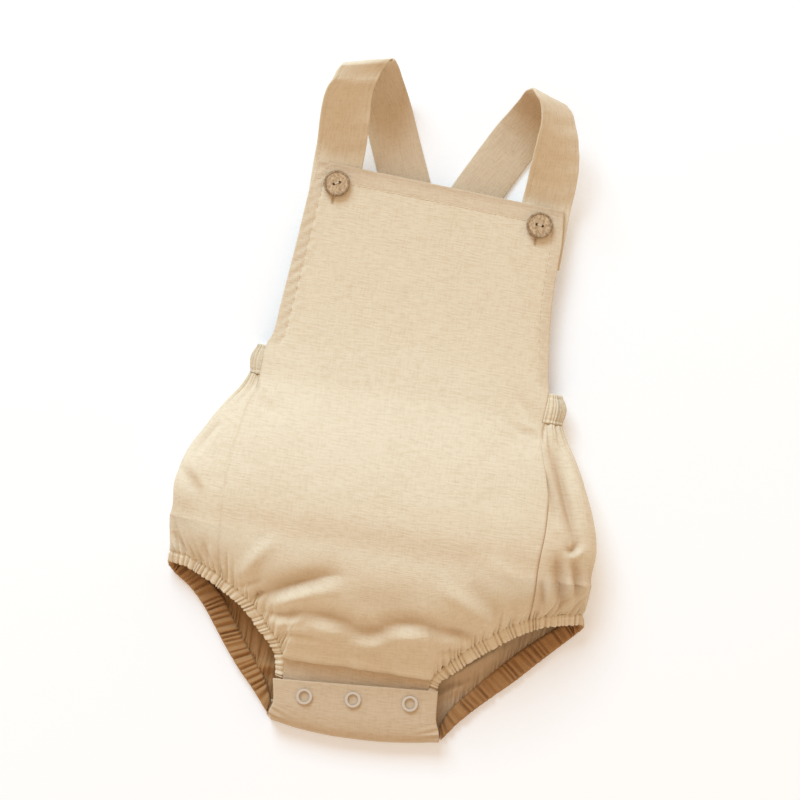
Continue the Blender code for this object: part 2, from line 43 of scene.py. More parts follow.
MM = 0.001
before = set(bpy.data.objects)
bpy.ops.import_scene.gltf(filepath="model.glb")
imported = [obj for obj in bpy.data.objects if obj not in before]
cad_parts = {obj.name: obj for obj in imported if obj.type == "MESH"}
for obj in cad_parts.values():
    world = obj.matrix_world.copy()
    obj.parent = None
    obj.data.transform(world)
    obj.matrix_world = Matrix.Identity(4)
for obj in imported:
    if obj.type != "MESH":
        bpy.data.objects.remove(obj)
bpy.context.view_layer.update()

# ---------------------------------------------------------------- the garment's form
SECTION_COLUMNS = ("y", "left", "right", "seam_left", "seam_right", "crown", "side")
SECTIONS = (
    (134.0, -95.0, 92.0, -76.0, 73.6, 12.6, 11.5),
    (110.0, -95.0, 92.0, -78.5, 75.7, 12.5, 11.0),
    (90.0, -92.0, 88.0, -79.9, 75.6, 12.6, 10.0),
    (68.0, -90.0, 85.5, -81.7, 76.6, 13.2, 9.0),
    (45.0, -90.0, 86.0, -83.6, 79.2, 14.6, 9.0),
    (30.0, -90.5, 88.0, -84.7, 81.2, 16.4, 9.2),
    (21.0, -92.5, 91.0, -87.4, 82.6, 18.0, 9.4),
    (12.0, -95.2, 94.6, -88.2, 82.2, 19.8, 9.6),
    (3.0, -94.6, 94.2, -88.2, 81.8, 22.0, 10.0),
    (-4.0, -97.5, 97.5, -87.6, 82.2, 25.0, 10.6),
    (-15.0, -105.0, 104.4, -92.2, 84.5, 30.0, 12.0),
    (-30.0, -114.2, 112.4, -94.2, 89.0, 36.5, 14.0),
    (-45.0, -122.0, 119.4, -96.3, 92.4, 41.5, 15.0),
    (-60.0, -126.4, 124.8, -96.6, 93.2, 45.0, 16.0),
    (-75.0, -128.4, 127.8, -96.3, 92.6, 46.5, 16.0),
    (-88.0, -128.7, 129.0, -95.6, 92.9, 46.0, 15.5),
)
LEG_COLUMNS = ("turn", "x", "y", "z", "edge_x", "edge_y", "edge_z")
LEG_LEFT = (
    (0.000, -44.6, -173.0, 8.6, -49.6, -172.0, 8.0),
    (0.070, -46.8, -160.0, 11.0, -52.0, -161.0, 9.0),
    (0.120, -51.0, -151.5, 14.5, -56.9, -153.5, 12.0),
    (0.180, -58.5, -143.4, 17.5, -64.4, -146.5, 14.5),
    (0.230, -64.9, -135.5, 19.5, -71.2, -139.0, 16.5),
    (0.290, -71.5, -129.6, 21.0, -77.5, -133.8, 17.5),
    (0.340, -80.3, -124.3, 21.5, -85.0, -129.6, 18.0),
    (0.400, -92.6, -118.0, 20.0, -95.0, -124.2, 17.0),
    (0.445, -100.3, -114.2, 19.0, -103.2, -120.6, 16.0),
    (0.500, -114.0, -109.9, 16.0, -114.6, -116.8, 13.5),
    (0.550, -123.4, -109.2, 12.0, -122.6, -116.2, 10.5),
    (0.625, -123.8, -111.8, 4.5, -124.0, -118.6, 5.0),
    (0.700, -114.5, -114.8, 0.0, -119.5, -122.5, 0.0),
    (0.750, -101.5, -121.5, 0.0, -109.2, -129.2, 0.0),
    (0.805, -88.9, -131.4, 0.0, -99.4, -138.6, 0.0),
    (0.850, -79.4, -144.0, 0.0, -91.0, -149.2, 0.0),
    (0.895, -70.8, -156.2, 0.0, -81.9, -161.0, 0.0),
    (0.940, -61.6, -167.6, 0.0, -71.2, -173.6, 0.0),
    (0.975, -54.5, -177.5, 0.0, -61.6, -183.4, 0.0),
    (1.000, -49.7, -187.7, 0.0, -51.0, -195.6, 0.0),
)
LEG_RIGHT = (
    (0.000, 41.6, -172.0, 8.6, 46.6, -171.0, 8.0),
    (0.070, 42.8, -159.0, 11.0, 48.2, -161.0, 9.0),
    (0.120, 49.5, -149.8, 14.5, 54.2, -154.6, 12.0),
    (0.180, 57.2, -140.8, 17.5, 61.7, -147.0, 14.5),
    (0.230, 63.3, -134.6, 19.5, 68.6, -140.6, 16.5),
    (0.290, 72.0, -127.2, 21.0, 76.4, -134.0, 17.5),
    (0.340, 79.5, -120.9, 21.5, 84.3, -127.8, 18.0),
    (0.400, 93.8, -113.2, 20.0, 95.8, -120.6, 17.0),
    (0.445, 102.4, -110.1, 19.0, 103.4, -117.0, 16.0),
    (0.500, 114.2, -107.4, 16.0, 115.3, -114.2, 13.5),
    (0.550, 124.4, -105.4, 12.0, 125.2, -112.2, 10.5),
    (0.625, 126.0, -108.0, 4.5, 127.4, -114.8, 5.0),
    (0.700, 116.5, -112.8, 0.0, 122.6, -120.0, 0.0),
    (0.750, 104.5, -123.0, 0.0, 112.6, -130.6, 0.0),
    (0.805, 92.8, -134.0, 0.0, 102.4, -141.6, 0.0),
    (0.850, 82.9, -144.6, 0.0, 92.4, -152.6, 0.0),
    (0.895, 72.8, -156.3, 0.0, 81.4, -163.4, 0.0),
    (0.940, 63.2, -167.6, 0.0, 71.4, -173.6, 0.0),
    (0.975, 56.4, -176.6, 0.0, 63.4, -182.6, 0.0),
    (1.000, 52.4, -187.7, 0.0, 54.6, -195.0, 0.0),
)
CROTCH_COLUMNS = ("x", "y")
CROTCH_FOLD = ((-50.0, -199.0), (-30.0, -202.0), (-10.0, -202.9), (10.0, -202.2), (31.0, -200.0),
               (54.0, -196.0))
FLAP_COLUMNS = ("along", "reach", "lift", "left", "right")
FLAP = (
    (0.00, -1.00, 0.0, -49.2, 51.9),
    (0.22, -0.20, 0.0, -50.0, 53.0),
    (0.34, -0.05, 1.4, -48.2, 53.0),
    (0.42, 0.00, 4.4, -47.2, 53.0),
    (0.50, 0.05, 8.2, -47.6, 53.4),
    (0.60, 0.20, 11.2, -49.6, 52.6),
    (0.74, 0.46, 12.4, -48.0, 49.6),
    (1.00, 1.00, 12.7, -50.4, 47.8),
)
FLAP_TOP = (-173.8, -164.9)
STRAP_COLUMNS = ("along", "x", "y", "z", "heading", "tip")
STRAP_LEFT = (
    (0.00, -63.6, 96.0, 9.4, 0.0, 0.0),
    (0.09, -63.6, 118.0, 9.6, 0.0, 0.0),
    (0.16, -63.7, 134.0, 10.0, 0.0, 0.0),
    (0.22, -63.4, 146.8, 15.0, 0.4, 0.0),
    (0.29, -63.6, 159.8, 24.0, 3.4, 8.0),
    (0.36, -63.2, 172.2, 33.0, 9.0, 22.0),
    (0.42, -60.4, 182.8, 37.6, 13.4, 28.0),
    (0.46, -57.4, 190.9, 37.6, 14.6, 22.0),
    (0.50, -55.2, 194.8, 33.6, 16.0, 9.0),
    (0.54, -52.0, 191.6, 25.0, 19.0, 2.0),
    (0.58, -48.0, 185.1, 14.5, 23.0, 0.0),
    (0.62, -43.9, 178.0, 6.5, 25.0, 0.0),
    (0.66, -39.2, 168.9, 1.6, 25.8, 0.0),
    (0.71, -34.2, 157.4, 0.0, 25.8, 0.0),
    (0.80, -20.7, 126.9, 0.0, 25.8, 0.0),
    (0.94, 17.6, 47.6, 0.0, 25.8, 0.0),
    (0.97, 25.6, 31.0, 2.9, 25.8, 0.0),
    (1.00, 34.4, 12.8, 2.9, 25.8, 0.0),
)
STRAP_RIGHT = (
    (0.00, 62.3, 94.0, 9.3, 0.0, 0.0),
    (0.09, 62.5, 114.0, 9.5, 0.0, 0.0),
    (0.16, 62.8, 130.0, 10.0, -1.0, 0.0),
    (0.22, 63.5, 142.9, 14.6, -1.0, 4.0),
    (0.29, 63.6, 157.1, 23.0, -1.4, 18.0),
    (0.36, 62.6, 169.3, 29.5, -1.4, 33.0),
    (0.42, 60.8, 180.3, 33.0, -1.8, 44.0),
    (0.46, 57.0, 188.1, 34.0, -4.0, 46.0),
    (0.50, 52.6, 191.6, 31.5, -11.0, 42.0),
    (0.54, 51.2, 189.2, 25.0, -21.0, 28.0),
    (0.58, 49.6, 184.6, 16.0, -28.0, 14.0),
    (0.62, 45.2, 177.0, 7.5, -30.0, 5.0),
    (0.66, 39.2, 167.8, 1.9, -30.0, 0.0),
    (0.71, 33.0, 156.3, 0.0, -29.5, 0.0),
    (0.77, 21.8, 134.0, 0.3, -29.0, 0.0),
    (0.81, 14.0, 118.2, 2.3, -29.0, 0.0),
    (0.89, -14.0, 67.8, 2.3, -29.0, 0.0),
    (0.94, -26.4, 45.4, 0.3, -29.0, 0.0),
    (0.97, -34.4, 31.0, 2.9, -29.0, 0.0),
    (1.00, -44.6, 12.6, 2.9, -29.0, 0.0),
)

BIB_TOP, WAIST_TOP, WAIST_FOOT, LAST_ROW, FOOT = 134.0, 21.0, 3.0, -88.0, -203.0
FRONT_LEG_SHARE = 10 / 28
BACK_LEG_SHARE, SIDE_SHARE, BEND_SHARE = 14 / 36, 3 / 36, 7 / 36
SEAM_TURN, PLACKET_TURN = 0.40, 0.07
BACK_CROTCH_Y, UNDER_BEND = -187.7, 12.0
STRAP_WIDTH = 29.5
BUTTONS = (("left", -62.3, 122.4, 26.0), ("right", 60.5, 118.1, -8.0))
BUTTON_THICKNESS = 2.6

# How each panel ends below: its share of the girth along one leg, and the leg's last turn.
FRONT_LEGS = (FRONT_LEG_SHARE, PLACKET_TURN)
BACK_LEGS = (BACK_LEG_SHARE, 1.0)
LOWER_SWELL = 2.2                      # above 1 the belly stays high before it falls to the leg
BACK_GIRTH, WAIST_GIRTH, WAIST_WIDTH = 354.0, 300.0, 18.0
PLACKET_SIZE, FLAP_SIZE, STRAP_LENGTH = (88.0, 33.0), (99.0, 58.0), 290.0
# Rolled edges, as radius and tuck: a plain seam's, then those of the sides, head and foot.
SEAM_EDGE = (0.5, 1.2)
EDGES = {
    "waist_casing": ((0.6, 1.0), (1.1, 7.0), (1.1, 7.0)),
    "front_placket": ((0.5, 1.0), (0.5, 2.0), (0.8, 6.0)),
    "crotch_flap": ((0.75, 4.0), (0.5, 1.0), (0.7, 8.0)),
}
HEM_TOP, HEM_LEFT, HEM_RIGHT, HEM_STITCH = 10.4, 7.0, 6.6, 3.5
FINE_PITCH, MIDDLE_PITCH, BROAD_PITCH = 3.0, 6.3, 14.5
# Painted shade in creases and hollows: how much, and the depth that takes all of it.
FRONT_CREASE_SHADE, BACK_CREASE_SHADE, CASING_CREASE_SHADE = (0.27, 4.0), (0.38, 4.0), (0.45, 1.6)
STRAP_FIRST_STITCH, STRAP_LAST_STITCH, STRAP_ROWS = 0.10, 0.52, (0.088, 0.912)
UP, DOWN = (0, 0, 1), (0, 0, -1)
CAMERA_AIM = (-0.0037, 0.0020)         # metres

Stitch = namedtuple("Stitch", ("stitch_length", "stitch_gap", "stitch_width"))
BUTTON_STITCH, TACK_STITCH = Stitch(3.0, 0.0, 0.6), Stitch(1.8, -1.2, 0.36)
# A button's rim is spun from these pairs of radius and height over its face.
RIM_PROFILE = ((6.1, -0.1), (6.45, 0.18), (6.9, 0.32), (7.45, 0.22), (7.8, -0.3), (7.85, -1.2),
               (7.6, -2.1), (7.1, -2.5))

# Creases, listed one by one: start, middle and end in plan, depth (negative is a ridge), half
# width, and lip, the height of the ridge beside it (to the left of its run if positive).
CREASE_COLUMNS = ("x0", "y0", "xm", "ym", "x1", "y1", "depth", "width", "lip")
FRONT_CREASES = (
    (-74, -134, -70, -129, -64, -124, 5.2, 1.7, -1.5),
    (-66, -126, -48, -116, -31, -108, 6.4, 4.4, -2.4),
    (-40, -112, -29, -107, -18, -104, 2.6, 5.0, -1.0),
    (-80, -124, -74, -120, -66, -116, 2.3, 2.2, -1.0),
    (-78, -116, -73, -106, -63, -92, -2.2, 4.5, 0.0),
    (-63, -135, -50, -135, -39, -130, 3.8, 2.6, -1.7),
    (-40, -131, -22, -132, -7, -135, 4.9, 4.4, -2.4),
    (-9, -136, 2, -137, 9, -132, 5.2, 4.2, -2.4),
    (7, -132, 24, -127, 42, -128, 5.2, 4.6, -2.4),
    (40, -128, 56, -129, 66, -132, 4.6, 3.6, -2.0),
    (-58, -146, -44, -142, -23, -145, -1.6, 2.6, 0.0),
    (-52, -148, -36, -145, -20, -147, 2.6, 2.4, -0.8),
    (43, -143, 52, -140, 63, -144, 2.3, 2.0, -1.4),
    (41, -103, 58, -111, 80, -125, -2.8, 4.6, 0.0),
    (56, -94, 66, -105, 76, -117, 1.6, 6.0, 0.0),
    (62, -82, 73, -86, 86, -90, -1.4, 5.0, 0.0),
    (80, -120, 88, -118, 94, -112, 2.3, 1.7, -1.0),
    (-41, -159, -19, -155, 6, -153, 1.1, 3.2, 0.0),
    (-16, -116, 8, -116, 30, -109, 1.2, 9.0, 0.0),
    (61, 0, 72, -4, 82, -6, 1.7, 2.2, 0.8),
    (58, -7, 68, -10, 79, -14, 0.9, 3.0, 0.0),
    (84, -2, 74, 8, 60, 17, 1.2, 3.6, 0.4),
    (-87, -11, -80, -14, -71, -17, 1.1, 2.4, 0.0),
)
SIDE_CREASES = (
    (90, -10, 103, -38, 113, -64, 4.6, 4.2, 1.2),
    (98, -14, 112, -40, 121, -66, -1.6, 4.0, 0.0),
    (108, -67, 112, -68, 115, -62, 2.8, 2.2, -1.2),
    (103, -74, 109, -90, 111, -104, 5.0, 3.4, 1.4),
    (113, -74, 119, -86, 119, -100, 3.4, 2.8, 1.0),
    (96, -88, 99, -98, 101, -108, 2.4, 2.4, 0.6),
    (84, -25, 92, -35, 99, -52, 2.0, 3.0, 0.0),
    (-90, 4, -88.5, -2, -86.5, -10, 1.7, 1.8, 0.0),
    (83.5, 4, 83.5, -2, 84.5, -8, 2.4, 1.3, 0.0),
    (-123, -60, -115, -66, -109, -74, 2.6, 3.6, 0.0),
    (-123, -97, -120, -102, -114, -107, 1.9, 2.2, 0.0),
    (-103, -100, -100, -107, -96, -114, 2.0, 2.2, 0.5),
    (-106, -28, -112, -36, -118, -49, 1.8, 3.0, 0.4),
)
UNDER_CREASES = (
    (-70, -20, -40, -30, -20, -60, -1.6, 6.0, 0.0),
    (60, -14, 48, -40, 50, -74, -1.4, 6.0, 0.0),
    (48, -160, 65, -147, 80, -134, -4.5, 4.0, 0.0),
    (46, -171, 58, -163, 68, -157, -3.0, 2.6, 0.0),
    (-63, -171, -55, -168, -45, -168, -3.2, 3.6, 0.0),
    (-89, -134, -80, -148, -71, -160, -2.6, 3.4, 0.0),
)


# ---------------------------------------------------------------- arithmetic
def glide(knots, values, at):
    """Smooth value between table rows that never overshoots them."""
    knots, values = np.asarray(knots, float), np.asarray(values, float)
    if knots[0] > knots[-1]:
        knots, values = knots[::-1], values[::-1]
    at = np.clip(at, knots[0], knots[-1])
    step = np.diff(knots)
    rise = np.diff(values) / step
    slope = np.empty_like(values)
    slope[0], slope[-1] = rise[0], rise[-1]
    product = rise[:-1] * rise[1:]
    total = rise[:-1] + rise[1:]
    slope[1:-1] = np.where(product > 0, 2 * product / np.where(total == 0, 1, total), 0)
    i = np.clip(np.searchsorted(knots, at, side="right") - 1, 0, len(knots) - 2)
    u = (at - knots[i]) / step[i]
    return (values[i] * (1 + 2 * u) * (1 - u) ** 2 + values[i + 1] * u * u * (3 - 2 * u)
            + step[i] * (slope[i] * u * (1 - u) ** 2 + slope[i + 1] * u * u * (u - 1)))


def read(rows, names, name, at):
    index = names.index(name)
    return glide([row[0] for row in rows], [row[index] for row in rows], at)


def mix(a, b, share):
    return a + (b - a) * share


def bell(distance, width):
    return np.exp(-(distance / width) ** 2)


def ease(share):
    share = np.clip(share, 0.0, 1.0)
    return share * share * (3.0 - 2.0 * share)


def wander(at, period, seed):
    """Uneven wave between about -1 and 1."""
    turn = 2.0 * math.pi * at / period
    return (0.55 * np.sin(turn + seed) + 0.3 * np.sin(2.17 * turn + 2.3 * seed)
            + 0.25 * np.sin(0.43 * turn + 4.1 * seed))


def crease_field(rows, x, y):
    """Depth of all creases of a table at points in plan."""
    total = np.zeros_like(x)
    for row in rows:
        c = dict(zip(CREASE_COLUMNS, (float(value) for value in row)))
        pull_x = 2 * c["xm"] - 0.5 * (c["x0"] + c["x1"])
        pull_y = 2 * c["ym"] - 0.5 * (c["y0"] + c["y1"])
        tau = np.linspace(0.0, 1.0, 13)
        line_x = (1 - tau) ** 2 * c["x0"] + 2 * tau * (1 - tau) * pull_x + tau ** 2 * c["x1"]
        line_y = (1 - tau) ** 2 * c["y0"] + 2 * tau * (1 - tau) * pull_y + tau ** 2 * c["y1"]
        reach = 4 * c["width"] + 4
        near = ((x > line_x.min() - reach) & (x < line_x.max() + reach)
                & (y > line_y.min() - reach) & (y < line_y.max() + reach))
        if not near.any():
            continue
        px, py = x[near], y[near]
        best = np.full(px.shape, 1e9)
        signed = np.zeros(px.shape)
        place = np.zeros(px.shape)
        for k in range(12):
            run_x, run_y = line_x[k + 1] - line_x[k], line_y[k + 1] - line_y[k]
            length2 = run_x * run_x + run_y * run_y
            raw = ((px - line_x[k]) * run_x + (py - line_y[k]) * run_y) / length2
            part = np.clip(raw, 0.0, 1.0)
            gap_x, gap_y = px - line_x[k] - part * run_x, py - line_y[k] - part * run_y
            gap = np.hypot(gap_x, gap_y)
            closer = gap < best
            best = np.where(closer, gap, best)
            side = np.sign(run_x * gap_y - run_y * gap_x)
            signed = np.where(closer, side * gap, signed)
            place = np.where(closer, (k + part) / 12, place)
        taper = np.clip(np.sin(math.pi * np.clip(0.06 + 0.88 * place, 0, 1)), 0, 1) ** 0.7
        if c["lip"]:
            # the side with the ridge is the steep one; both fade where the crease runs out
            beside = signed * math.copysign(1.0, c["lip"])
            steep = ease(0.5 + beside / c["width"]) * np.sin(math.pi * place)
            reach_now = c["width"] * (1.25 - 0.55 * steep)
            field = c["depth"] * np.exp(-(best / reach_now) ** 1.35)
            field -= (abs(c["lip"]) * bell(beside - 1.6 * c["width"], 0.8 * c["width"])
                      * np.sin(math.pi * place))
        else:
            field = c["depth"] * bell(best, c["width"])
        total[near] += field * taper
    return total


# ---------------------------------------------------------------- the body's outer face
def bulge(u):
    return np.sqrt(np.clip(1.0 - np.abs(u) ** 2.4, 0.0, 1.0))


def section(y):
    return {name: read(SECTIONS, SECTION_COLUMNS, name, y) for name in SECTION_COLUMNS[1:]}


def top_height(cut, x):
    middle = 0.5 * (cut["left"] + cut["right"])
    half = 0.5 * (cut["right"] - cut["left"])
    return cut["side"] + (cut["crown"] - cut["side"]) * bulge((x - middle) / half)


def leg_point(rows, turn, free):
    prefix = "edge_" if free else ""
    return np.stack([read(rows, LEG_COLUMNS, prefix + axis, turn) for axis in "xyz"], -1)


def row_down(y):
    """0 at the last straight row of a panel, 1 at its lower edge."""
    return np.clip((LAST_ROW - y) / (LAST_ROW - FOOT), 0.0, None)


def near_foot(y):
    """1 at a panel's lower edge, 0 from four millimetres above it."""
    return np.clip((FOOT + 4.0 - y) / 4.0, 0, 1)


def lower_edge(share, leg_share, last_turn):
    """Down one leg's seam, straight over the crotch, and up the other leg's seam."""
    left = leg_point(LEG_LEFT, mix(SEAM_TURN, last_turn, share / leg_share), False)
    right = leg_point(LEG_RIGHT, mix(SEAM_TURN, last_turn, (1 - share) / leg_share), False)
    start, end = (leg_point(rows, np.float64(last_turn), False)
                  for rows in (LEG_LEFT, LEG_RIGHT))
    part = np.clip((share - leg_share) / (1 - 2 * leg_share), 0, 1)[..., None]
    return np.where((share < leg_share)[..., None], left,
                    np.where((share > 1 - leg_share)[..., None], right, mix(start, end, part)))


def run_down(upper, share, y, legs):
    """A panel's points, with those under LAST_ROW taken on to its lower edge."""
    down = row_down(y)
    edge = lower_edge(share, *legs)
    lower = mix(upper, edge, down[..., None])
    lower[..., 2] = mix(upper[..., 2], edge[..., 2], down ** LOWER_SWELL)
    return np.where((y >= LAST_ROW)[..., None], upper, lower)


def front_base(share, y):
    """Outer face of the front; y under LAST_ROW runs on to the leg edges and the crotch."""
    row = np.maximum(y, LAST_ROW)
    cut = section(row)
    x = mix(cut["seam_left"], cut["seam_right"], share)
    lean = np.maximum(0.0, row - WAIST_TOP) / (BIB_TOP - WAIST_TOP)
    upper = np.stack([x, row - 0.037 * (x + 60.0) * lean, top_height(cut, x)], -1)
    return run_down(upper, share, y, FRONT_LEGS)


def back_base(share, y):
    """Outer face of the back: left seam, left side, bend, floor, bend, right side, right seam."""
    row = np.maximum(y, LAST_ROW)
    cut = section(row)
    near = np.minimum(share, 1 - share)
    flip = share > 0.5
    outward = np.where(flip, 1.0, -1.0)
    rim = np.where(flip, cut["right"], cut["left"])
    seam = np.where(flip, cut["seam_right"], cut["seam_left"])
    middle = 0.5 * (cut["left"] + cut["right"])
    half = 0.5 * (cut["right"] - cut["left"])
    start = np.abs(seam - middle) / half
    reach = 1 - (1 - start) * (1 - np.clip(near / SIDE_SHARE, -1, 1)) ** 2
    side_x = middle + outward * half * np.clip(reach, 0, 1)
    angle = 0.5 * math.pi * np.clip((near - SIDE_SHARE) / (BEND_SHARE - SIDE_SHARE), 0, 1)
    bend_x = rim - outward * UNDER_BEND * (1 - np.cos(angle))
    part = np.clip((share - BEND_SHARE) / (1 - 2 * BEND_SHARE), 0, 1)
    flat_x = mix(cut["left"] + UNDER_BEND, cut["right"] - UNDER_BEND, part)
    x = np.where(near <= SIDE_SHARE, side_x, np.where(near <= BEND_SHARE, bend_x, flat_x))
    z = np.where(near <= SIDE_SHARE, top_height(cut, side_x),
                 np.where(near <= BEND_SHARE, cut["side"] * (1 - np.sin(angle)), 0.0))
    return run_down(np.stack([x, row + 0 * x, z], -1), share, y, BACK_LEGS)


def casing_base(rows, turn, across):
    return mix(leg_point(rows, turn, False), leg_point(rows, turn, True), across[..., None])


def flap_base(share, along):
    left, right = (read(FLAP, FLAP_COLUMNS, side, along) for side in ("left", "right"))
    reach = read(FLAP, FLAP_COLUMNS, "reach", along)
    x = mix(left, right, share)
    fold = read(CROTCH_FOLD, CROTCH_COLUMNS, "y", x)
    under = mix(fold, BACK_CROTCH_Y, -reach)
    over = mix(fold, mix(FLAP_TOP[0], FLAP_TOP[1], share), reach)
    return np.stack([x, np.where(reach < 0, under, over),
                     read(FLAP, FLAP_COLUMNS, "lift", along)], -1)


def placket_base(share, along):
    turn = np.clip(PLACKET_TURN * (1 - along * 33.0 / 13.0), 0, 1)
    left, right = leg_point(LEG_LEFT, turn, False), leg_point(LEG_RIGHT, turn, False)
    x = mix(left[..., 0], right[..., 0], share)
    top = mix(-160.0, -159.0, share)
    z = glide([0.0, 0.25, 0.45, 1.0], [11.0, 8.6, 8.2, 7.4], along)
    return np.stack([x, mix(top, -192.5, along), z], -1)


def strap_base(rows, share, along):
    x, y, z, heading, tip = (read(rows, STRAP_COLUMNS, key, along) for key in STRAP_COLUMNS[1:])
    aside = (share - 0.5) * STRAP_WIDTH
    heading, tip = np.radians(heading), np.radians(tip)
    level = aside * np.cos(tip)
    return np.stack([x + level * np.cos(heading), y + level * np.sin(heading),
                     z - aside * np.sin(tip)], -1)


# ---------------------------------------------------------------- sheets with rolled edges
def lay(base, height, i, j, facing, drop=0.0, nudge=(1e-3, 1e-3)):
    """Points of a sheet and its outward directions; drop is how far an edge is rolled under."""
    here = base(i, j)
    along_i = base(i + nudge[0], j) - base(i - nudge[0], j)
    along_j = base(i, j + nudge[1]) - base(i, j - nudge[1])
    out = np.cross(along_i, along_j) * facing
    size = np.linalg.norm(out, axis=-1, keepdims=True)
    out = out / np.where(size == 0, 1, size)
    return here + out * (height(i, j, here) - drop)[..., None], out


def rolled_axis(shares, size, low, high, steps=5):
    """Shares and drops along one way of a sheet whose two edges are rolled under.

    low and high are (radius, tuck) of each edge in millimetres, or None for a bare edge;
    size is the sheet's length that way, and all of them may differ from row to row.
    """
    size = np.asarray(size, float)
    columns, drops = [], []

    def roll(radius, tuck, flip):
        radius, tuck = np.asarray(radius, float), np.asarray(tuck, float)
        made = [(radius + tuck, 2 * radius), (radius + 0.5 * tuck, 2 * radius)]
        for k in range(steps + 1):
            angle = math.pi * (1 - k / steps)
            made.append((radius * (1 - math.sin(angle)), radius * (1 - math.cos(angle))))
        for inset, drop in (made[::-1] if flip else made):
            columns.append(1 - inset / size if flip else inset / size)
            drops.append(drop + 0 * size)

    if low:
        roll(low[0], low[1], False)
    inner_low = low[0] / size if low else 0 * size
    inner_high = 1 - high[0] / size if high else 1 + 0 * size
    bare_low, bare_high = 0 if not low else 1, 0 if not high else 1
    inner = shares[bare_low:len(shares) - bare_high]
    for share in inner:
        columns.append(mix(inner_low, inner_high, share))
        drops.append(0 * size)
    if high:
        roll(high[0], high[1], True)
    return np.array(columns), np.array(drops)


def rolled_patch(columns, rows, width, length, sides, head, foot):
    """Shares across and down, and drops, of a sheet with all four edges rolled under."""
    down, drop_down = rolled_axis(rows, length * np.ones(1), head, foot)
    across, drop_across = rolled_axis(columns, width + 0 * down[:, 0], sides, sides)
    i = across.T
    return i, np.repeat(down[:, :1], i.shape[1], axis=1), drop_across.T + drop_down[:, :1]


def facing_of(base, i, j, want):
    """1 or -1, so that the sheet's outward side looks along want at a point."""
    out = lay(base, lambda a, b, c: 0 * a, np.array([float(i)]), np.array([float(j)]), 1.0)[1][0]
    return 1.0 if float(np.dot(out, want)) > 0 else -1.0


def spread(base, height, i, j, drop, nudge, probe):
    """Points of a whole sheet, on or above the surface; probe is a place and its outward way."""
    points, _ = lay(base, height, i, j, facing_of(base, *probe), drop, nudge)
    points[..., 2] = np.maximum(points[..., 2], 0.0)
    return points


def painted_crease_shade(base, height, i, j, amount, depth):
    """Painted shade where the cloth dips: darker in its creases and hollows, the deeper the
    darker.
    """
    return amount * ease(-height(i, j, base(i, j)) / depth)


def steady(start, *stretches):
    """Even steps from start through each (end, count) in turn; the meeting points come once."""
    made = [start]
    for end, count in stretches:
        made += list(np.linspace(made[-1], end, count))[1:]
    return made


def mirrored(half, count):
    """Shares of a whole girth from one side's, with count of them over the middle."""
    return half + steady(half[-1], (1 - half[-1], count))[1:-1] + [1 - share
                                                                   for share in half[::-1]]


def flat_area(points):
    """Area of a grid of points in square metres."""
    a, b, c, d = points[:-1, :-1], points[:-1, 1:], points[1:, 1:], points[1:, :-1]
    twice = np.linalg.norm(np.cross(b - a, c - a), axis=-1) + np.linalg.norm(
        np.cross(c - a, d - a), axis=-1)
    return float(twice.sum() / 2) * 1e-6


# ---------------------------------------------------------------- objects
def mesh_from(name, shape):
    mesh = bpy.data.meshes.new(name)
    shape.to_mesh(mesh)
    shape.free()
    return mesh


def add_object(name, mesh, material, slot=""):
    """A smooth object at the origin; with a slot it is a trim that rides on the garment."""
    mesh.shade_smooth()
    mesh.materials.append(material)
    piece = bpy.data.objects.new(name, mesh)
    bpy.context.scene.collection.objects.link(piece)
    if slot:
        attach(piece, "root")
    return piece


def sheet_object(name, points, cloth_uv, material, painted_shade=None):
    """Grid of quads through points[row, column], with its flat measure kept as a UV map."""
    rows, columns = points.shape[:2]
    shape = bmesh.new()
    bmesh.ops.create_grid(shape, x_segments=columns - 1, y_segments=rows - 1, size=0.5)
    mesh = mesh_from(name, shape)
    raw = np.empty(len(mesh.vertices) * 3)
    mesh.vertices.foreach_get("co", raw)
    raw = raw.reshape(-1, 3)
    column = np.rint((raw[:, 0] + 0.5) * (columns - 1)).astype(int)
    row = np.rint((0.5 - raw[:, 1]) * (rows - 1)).astype(int)
    mesh.vertices.foreach_set("co", (points[row, column] * MM).ravel())
    corner = np.empty(len(mesh.loops), dtype=np.int32)
    mesh.loops.foreach_get("vertex_index", corner)
    flat = mesh.uv_layers.new(name="cloth")
    flat.data.foreach_set("uv", cloth_uv[row, column][corner].ravel())
    if painted_shade is not None:
        shade_mark = mesh.attributes.new("painted_shade", "FLOAT", "POINT")
        shade_mark.data.foreach_set("value", painted_shade[row, column].astype(np.float32))
    mesh.update()
    return add_object(name, mesh, material)


def turn_outward(piece, up_at):
    """Flip the faces if the one nearest to a point looks down there."""
    mesh = piece.data
    target = Vector(up_at) * MM
    face = min(mesh.polygons, key=lambda f: (f.center - target).length_squared)
    if face.normal.z < 0:
        mesh.flip_normals()


# ---------------------------------------------------------------- materials
def wire(tree, node, sockets):
    """Set a node's inputs: a socket is linked to, anything else is its value."""
    for key, value in sockets.items():
        if isinstance(value, bpy.types.NodeSocket):
            tree.links.new(value, node.inputs[key])
        else:
            node.inputs[key].default_value = value


def add_node(tree, kind, sockets=None, **settings):
    node = tree.nodes.new("ShaderNode" + kind)
    for key, value in settings.items():
        setattr(node, key, value)
    wire(tree, node, sockets or {})
    return node


def new_material(name):
    made = bpy.data.materials.new(name)
    made.use_nodes = True
    tree = made.node_tree
    return made, tree, tree.nodes["Principled BSDF"]


def calculate(tree, operation, *values):
    return add_node(tree, "Math", dict(enumerate(values)), operation=operation).outputs[0]


def colour_ramp(tree, factor, low, high, start=0.0, end=1.0):
    ramp = add_node(tree, "ValToRGB", {0: factor})
    for stop, place, colour in zip(ramp.color_ramp.elements, (start, end), (low, high)):
        stop.position = place
        stop.color = (*colour, 1.0)
    return ramp.outputs[0]


